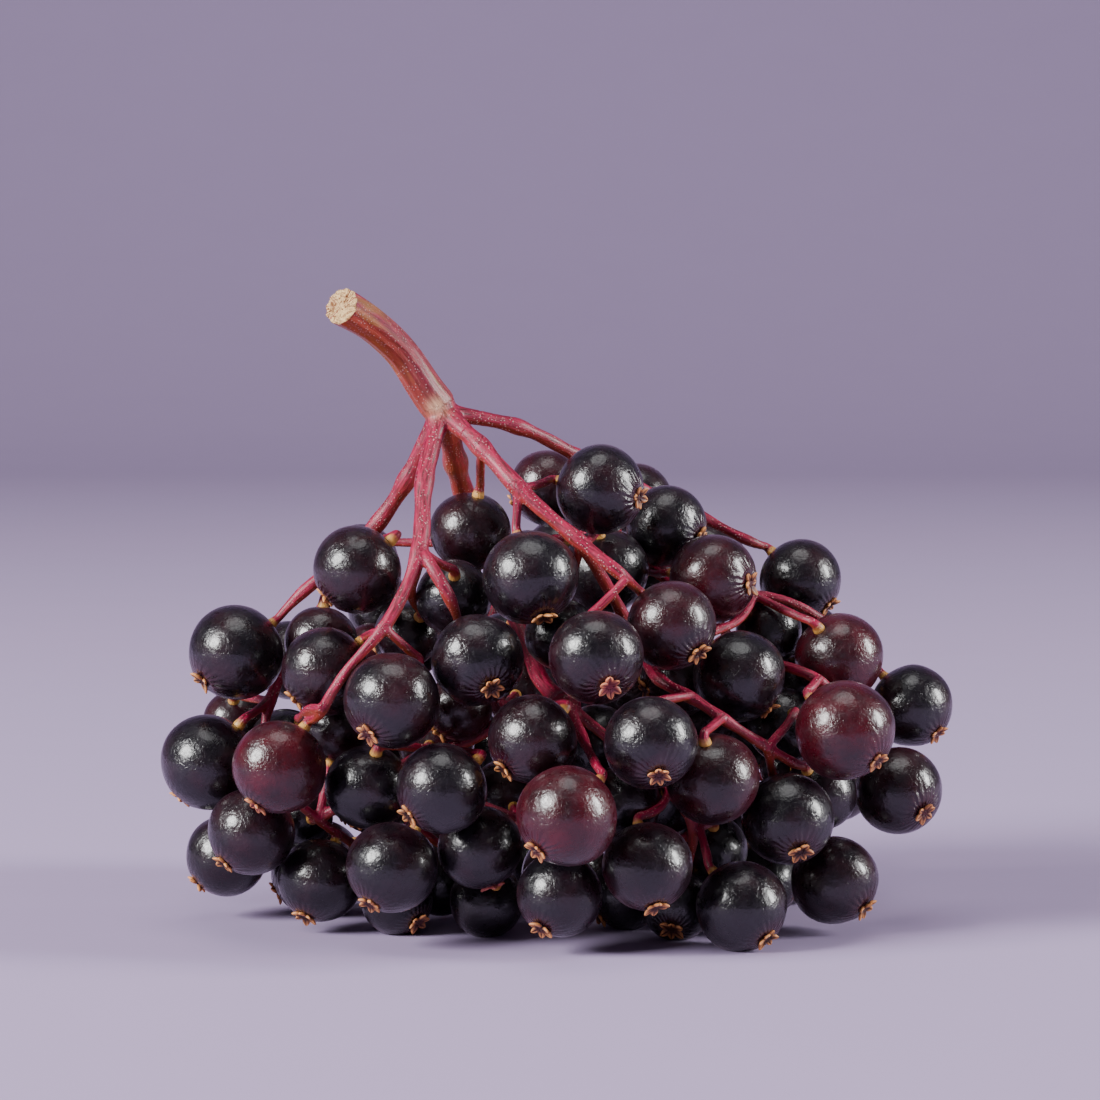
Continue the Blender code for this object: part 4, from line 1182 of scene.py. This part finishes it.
BERRY_BLACK = "#07050A"
BERRY_PURPLE = "#10050D"
BERRY_WINE = "#26030A"
BERRY_RED = "#4C0413"
BERRY_ROSE = "#3C0E22"
BLOOM_GREY = "#4A4150"
SHEEN_MAUVE = "#B07A98"
CLOUDS_PER_MM = 0.33
SPECKS_PER_MM = 1.1
DENTS_PER_MM = 1.5
WRINKLES_PER_MM = 3.8
SKIN_RELIEF = 0.05
PLEAT_COUNT = 22.0


def berry_skin():
    """Ripe elderberry skin: a waxy gloss over fine wrinkles about 0.2 mm apart."""
    material = empty_material("ripe_elderberry_skin")
    place = add_node(material, "TexCoord").outputs["Object"]
    own_place = add_node(material, "Attribute", attribute_name="berry").outputs["Vector"]
    own_place = add_node(material, "SeparateXYZ", {"Vector": own_place})
    side, front, height = own_place.outputs
    ripeness = add_node(material, "Attribute", attribute_name="ripeness").outputs["Fac"]
    cloud = {"Vector": place, "Scale": CLOUDS_PER_MM / MM, "Detail": 4.0, "Roughness": 0.6}
    clouds = add_node(material, "TexNoise", cloud)
    bloom = {"Vector": place, "Scale": SPECKS_PER_MM / MM, "Detail": 6.0, "Roughness": 0.7}
    bloom = add_node(material, "TexNoise", bloom)
    dent = {"Vector": place, "Scale": DENTS_PER_MM / MM, "Detail": 1.0, "Roughness": 0.4}
    dents = add_node(material, "TexNoise", dent)
    wrinkle = {"Vector": place, "Scale": WRINKLES_PER_MM / MM, "Distortion": 0.8}
    wrinkles = add_node(material, "TexNoise", wrinkle)

    cloud = add_node(material, "MapRange", {"Value": clouds, "From Min": 0.35, "From Max": 0.65})
    dark = painted(material, srgb(BERRY_BLACK), [(cloud, 1.0, srgb(BERRY_PURPLE))])
    red = painted(material, srgb(BERRY_WINE), [(cloud, 1.0, srgb(BERRY_RED))])
    uneven = add_node(material, "Math", {0: clouds, 1: 0.5, 2: -0.25}, operation="MULTIPLY_ADD")
    redness = {0: ripeness, 1: uneven}
    redness = add_node(material, "Math", redness, operation="ADD", use_clamp=True)
    rose = add_node(material, "MapRange", {"Value": height, "From Min": 0.80, "From Max": 0.95})
    grey = add_node(material, "MapRange", {"Value": bloom, "From Min": 0.45, "From Max": 0.75})
    layers = [
        (redness, 1.0, red),
        (rose, 0.6, srgb(BERRY_ROSE)),
        (grey, 0.10, srgb(BLOOM_GREY)),
    ]
    skin = painted(material, dark, layers)

    angle = add_node(material, "Math", {0: front, 1: side}, operation="ARCTAN2")
    phase = add_node(material, "Math", {0: clouds, 1: 0.8, 2: angle}, operation="MULTIPLY_ADD")
    phase = add_node(material, "Math", {0: phase, 1: PLEAT_COUNT}, operation="MULTIPLY")
    pleat = add_node(material, "Math", {0: phase}, operation="SINE")
    pucker = {"Value": height, "From Min": 0.70, "From Max": 0.93, "To Max": 0.8}
    pucker = {0: pleat, 1: add_node(material, "MapRange", pucker), 2: wrinkles}
    relief = add_node(material, "Math", pucker, operation="MULTIPLY_ADD")
    relief = add_node(material, "Math", {0: dents, 1: 1.2, 2: relief}, operation="MULTIPLY_ADD")
    gloss = {"Value": bloom, "From Min": 0.3, "From Max": 0.7, "To Min": 0.22, "To Max": 0.38}
    shader_inputs = {
        "Base Color": skin,
        "Roughness": add_node(material, "MapRange", gloss),
        "IOR": 1.5,
        "Normal": add_node(material, "Bump", {"Height": relief, "Distance": SKIN_RELIEF * MM}),
        "Coat Weight": 0.4,
        "Coat Roughness": 0.13,
        "Sheen Weight": 0.10,
        "Sheen Roughness": 0.3,
        "Sheen Tint": srgb(SHEEN_MAUVE),
    }
    shader = add_node(material, "BsdfPrincipled", shader_inputs)
    add_node(material, "OutputMaterial", {"Surface": shader})
    return material


berry_material = berry_skin()
berry_pattern.data.materials.append(berry_material)
hidden_ripeness = np.random.default_rng(31).beta(1.2, 4.0, size=len(berries))
ripeness = [row[5] for row in BERRIES] + list(hidden_ripeness[len(BERRIES) :])
redness = np.array(ripeness) ** REDNESS_CURVE


def berry_turn(berry, index):
    """The rotation from a berry's own frame, crown up, to its place in the cluster."""
    facing = Vector(berry.axis).to_track_quat("Z", "Y").to_matrix()
    return np.array(facing @ Matrix.Rotation(index * 1.7, 3, "Z"))


def berries_of(spray):
    """The berries of one spray, with their numbers."""
    return [pair for pair in enumerate(berries) if forks[pair[1].fork].spray == spray]


def placed_copy(pattern, name, places):
    """Copy a finished shape with a mesh of its own and put its points in place."""
    copy = pattern.copy()
    copy.data = pattern.data.copy()
    copy.name = name
    bpy.context.scene.collection.objects.link(copy)
    write_points(copy.data, places * MM)
    return copy


def joined(parts, name):
    """Join copies into one piece."""
    select_only(*parts)
    bpy.ops.object.join()
    parts[0].name = name
    parts[0].data.name = name
    return parts[0]


for spray in SPRAYS:
    copies = []
    for index, berry in berries_of(spray):
        draw = np.random.default_rng(100 + index)
        lumps = draw.normal(size=(3, 3))
        own = skin_points.copy()
        for lump in lumps:
            own *= 1.0 + 0.008 * np.sin(2.2 * (skin_points @ lump))[:, None]
        places = berry.centre + own @ berry_turn(berry, index).T * berry.radius
        places[:, 2] = np.maximum(places[:, 2], 0.01)
        copy = placed_copy(berry_pattern, f"berry_{index}", places)
        write_attribute(copy.data, "ripeness", "FLOAT", np.full(len(places), redness[index]))
        write_attribute(copy.data, "berry", "FLOAT_VECTOR", skin_points)
        copies.append(copy)
    fruit = joined(copies, f"{spray}_berries")
    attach(fruit, "root")
    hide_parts(spray)
bpy.data.objects.remove(berry_pattern)


# Calyx crowns
# The dried flower cup on the end of each berry: six tan, papery lobes round a small pit, each
# about 0.7 mm long, spread flat like a star. They withered in place as the berry grew.
LOBE_COUNT = 6
LOBE_LENGTH = 0.38
LOBE_WIDTH = 0.29
LOBE_THICKNESS = 0.16
LOBE_REACH = 0.58

bpy.ops.object.select_all(action="DESELECT")
bpy.ops.mesh.primitive_uv_sphere_add(segments=20, ring_count=13, radius=1.0)
lobe = bpy.context.object
lobe.name = "calyx_lobe"
lobe_points = read_points(lobe.data)[:, [2, 0, 1]]
outward = lobe_points[:, 0].copy()
spread = lobe_points[:, 1] / np.maximum(np.sqrt(1.0 - np.minimum(outward**2, 1.0)), 0.05)
lobe_points[:, 1] *= (1.0 - outward) ** 0.30 * (1.0 + 0.10 * outward)
crease = np.exp(-((spread / 0.25) ** 2))
lobe_points[:, 2] -= 0.80 * crease * (lobe_points[:, 2] > 0) * (1.0 - np.abs(outward) ** 3)
lobe_points *= [LOBE_LENGTH, LOBE_WIDTH, LOBE_THICKNESS]
lobe_points[:, 2] += 0.07 * outward + 0.05 * outward**2
lobe_points[:, 0] += LOBE_REACH
# Painted light and shade for each lobe: lighter towards its tip, darker towards the middle and along
# its crease.
lobe_light = np.clip(0.50 + 0.60 * outward, 0.0, 1.0) * (1.0 - crease)
write_points(lobe.data, lobe_points)
lobe.data.shade_smooth()

bpy.ops.mesh.primitive_uv_sphere_add(segments=12, ring_count=6, radius=1.0)
pit = bpy.context.object
pit.name = "calyx_pit"
pit_points = read_points(pit.data) * [0.24, 0.24, 0.10]
pit_points[:, 2] -= 0.12 * np.exp(-((np.hypot(pit_points[:, 0], pit_points[:, 1]) / 0.12) ** 2))
write_points(pit.data, pit_points)
pit.data.shade_smooth()

CALYX_TAN = "#DC9658"
CALYX_SHADE_BROWN = "#2E0E06"
CALYX_PINK = "#B8405C"
RIBS_PER_MM = 5.0
CALYX_RELIEF = 0.04


def dried_calyx():
    """Dried calyx: papery tan lobes with fine fibres, with painted shade in dark brown in the
    creases, towards the middle and on the pit.
    """
    material = empty_material("dried_calyx")
    place = add_node(material, "TexCoord").outputs["Object"]
    light = add_node(material, "Attribute", attribute_name="light").outputs["Fac"]
    blush = add_node(material, "Attribute", attribute_name="blush").outputs["Fac"]
    fibre = {"Vector": place, "Scale": RIBS_PER_MM / MM, "Detail": 3.0, "Roughness": 0.6}
    fibres = add_node(material, "TexNoise", fibre)
    # Painted shade: where the painted light is low, the lobes and the pit are painted dark brown.
    shade = add_node(material, "Math", {0: fibres, 1: 0.7, 2: light}, operation="MULTIPLY_ADD")
    tan = add_node(material, "MapRange", {"Value": shade, "From Min": 0.44, "From Max": 1.15})
    layers = [(tan, 1.0, srgb(CALYX_TAN)), (blush, 1.0, srgb(CALYX_PINK))]
    bump = {"Height": fibres, "Strength": 0.8, "Distance": CALYX_RELIEF * MM}
    shader_inputs = {
        "Base Color": painted(material, srgb(CALYX_SHADE_BROWN), layers),
        "Roughness": 0.5,
        "Normal": add_node(material, "Bump", bump),
    }
    shader = add_node(material, "BsdfPrincipled", shader_inputs)
    add_node(material, "OutputMaterial", {"Surface": shader})
    return material


calyx_material = dried_calyx()
lobe.data.materials.append(calyx_material)
pit.data.materials.append(calyx_material)
SEEN_BLUSH = {14: 0.35, 30: 0.6, 21: 0.25}

for spray in SPRAYS:
    copies = []
    for index, berry in berries_of(spray):
        draw = np.random.default_rng(500 + index)
        blush = SEEN_BLUSH.get(index, draw.uniform(0.0, 0.10))
        turned = berry_turn(berry, index)
        seat = np.array([0.0, 0.0, berry.radius * (BERRY_OBLATENESS - 0.045)])
        for step in range(LOBE_COUNT + 1):
            is_pit = step == LOBE_COUNT
            own = (pit_points if is_pit else lobe_points).copy()
            own *= draw.uniform(0.88, 1.12)
            if not is_pit:
                sway = step * math.tau / LOBE_COUNT + draw.normal() * 0.07
                lift = draw.normal() * 0.10 + 0.08
                own[:, 2] += own[:, 0] * lift
                spin = np.array(Matrix.Rotation(sway, 3, "Z"))
                own = own @ spin.T
            own[:, 2] += 0.10
            places = berry.centre + (own + seat) @ turned.T
            places[:, 2] = np.maximum(places[:, 2], 0.01)
            copy = placed_copy(pit if is_pit else lobe, f"lobe_{index}_{step}", places)
            # The pit gets no painted light, so it is painted all in the shade brown.
            light = np.zeros(len(own)) if is_pit else lobe_light
            write_attribute(copy.data, "light", "FLOAT", light)
            write_attribute(copy.data, "blush", "FLOAT", np.full(len(own), blush))
            copies.append(copy)
    crowns = joined(copies, f"{spray}_crowns")
    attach(crowns, "root")
    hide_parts(spray)
bpy.data.objects.remove(lobe)
bpy.data.objects.remove(pit)


# Floor, lights and camera
# A pale lilac sheet of paper that curves up behind the cluster, a round softbox in front on the
# left, a strip on the right, a dim one overhead, and a long lens at the height of the berries.
SHEET_LILAC = "#A693B8"
SHEET_SHADE = "#A491B6"
WORLD_LILAC = "#B9AFC2"
WORLD_STRENGTH = 0.3
BEND_STEPS = 16
PAPER_CLOUDS_PER_MM = 0.06
SHEET_WIDTH = 3.0
SHEET_FRONT = -1.2
SHEET_BACK = 0.7
SHEET_BEND = 0.5
SHEET_TOP = 1.6

bpy.ops.object.select_all(action="DESELECT")
bpy.ops.mesh.primitive_plane_add(size=1.0, location=(0.0, 0.0, 0.0))
sheet = bpy.context.object
sheet.name = "paper_sheet"
bpy.ops.object.mode_set(mode="EDIT")
bpy.ops.transform.resize(value=(SHEET_WIDTH, SHEET_BACK - SHEET_FRONT, 1.0))
bpy.ops.transform.translate(value=(0.0, (SHEET_BACK + SHEET_FRONT) / 2.0, -0.00002))
bpy.ops.mesh.select_mode(type="VERT")
bpy.ops.mesh.select_all(action="DESELECT")
bpy.ops.object.mode_set(mode="OBJECT")
for vertex in sheet.data.vertices:
    vertex.select = vertex.co.y > 0.0
bpy.ops.object.mode_set(mode="EDIT")
bpy.ops.mesh.select_mode(type="EDGE")
for step in range(BEND_STEPS):
    turn = math.radians((step + 0.5) * 90.0 / BEND_STEPS)
    length = SHEET_BEND * math.pi / (2.0 * BEND_STEPS)
    bpy.ops.mesh.extrude_edges_move()
    bpy.ops.transform.translate(value=(0.0, math.cos(turn) * length, math.sin(turn) * length))
bpy.ops.mesh.extrude_edges_move()
bpy.ops.transform.translate(value=(0.0, 0.0, SHEET_TOP - SHEET_BEND))
bpy.ops.object.mode_set(mode="OBJECT")
sheet.data.shade_smooth()


def pale_paper():
    """Pale lilac paper: matt, with faint clouds in its tint."""
    material = empty_material("pale_paper")
    place = add_node(material, "TexCoord").outputs["Object"]
    clouds = add_node(material, "TexNoise", {"Vector": place, "Scale": PAPER_CLOUDS_PER_MM / MM})
    tint = painted(material, srgb(SHEET_LILAC), [(clouds, 1.0, srgb(SHEET_SHADE))])
    shader = add_node(material, "BsdfPrincipled", {"Base Color": tint, "Roughness": 0.9})
    add_node(material, "OutputMaterial", {"Surface": shader})
    return material


sheet.data.materials.append(pale_paper())


def softbox(name, azimuth, elevation, distance, width, height, power):
    """A soft oval light that looks at the cluster; azimuth 0 is in front, 90 to the right."""
    turn = math.radians(azimuth)
    rise = math.radians(elevation)
    target = Vector((0.0, 0.0, 0.02))
    back = Vector(
        (math.sin(turn) * math.cos(rise), -math.cos(turn) * math.cos(rise), math.sin(rise))
    )
    data = bpy.data.lights.new(name, "AREA")
    data.shape = "ELLIPSE"
    data.size = width
    data.size_y = height
    data.energy = power
    light = bpy.data.objects.new(name, data)
    light.location = target + back * distance
    light.rotation_euler = back.to_track_quat("Z", "Y").to_euler()
    bpy.context.scene.collection.objects.link(light)


softbox("key_left", -60.0, 27.0, 0.8, 0.36, 0.36, 14.0)
softbox("strip_right", 84.0, 20.0, 0.8, 0.20, 0.42, 9.0)
softbox("overhead", 0.0, 84.0, 1.1, 0.70, 0.70, 3.5)

world = bpy.data.worlds.new("studio")
bpy.context.scene.world = world
world.use_nodes = True
background = world.node_tree.nodes["Background"]
background.inputs["Color"].default_value = srgb(WORLD_LILAC)
background.inputs["Strength"].default_value = WORLD_STRENGTH

FRAME_WIDTH = 84.6
SENSOR = 36.0
camera_data = bpy.data.cameras.new("camera")
camera_data.sensor_width = SENSOR
camera_data.lens = SENSOR * VIEW_DISTANCE / FRAME_WIDTH
camera_data.clip_start = 0.01
camera_data.clip_end = 20.0
camera = bpy.data.objects.new("camera", camera_data)
bpy.context.scene.collection.objects.link(camera)
target = Vector(MIDDLE_SHIFT + np.array([0.0, 0.0, VIEW_HEIGHT])) * MM
back = Vector((0.0, -TILT_COS, TILT_SIN))
camera.location = target + back * VIEW_DISTANCE * MM
camera.rotation_euler = back.to_track_quat("Z", "Y").to_euler()
bpy.context.scene.camera = camera
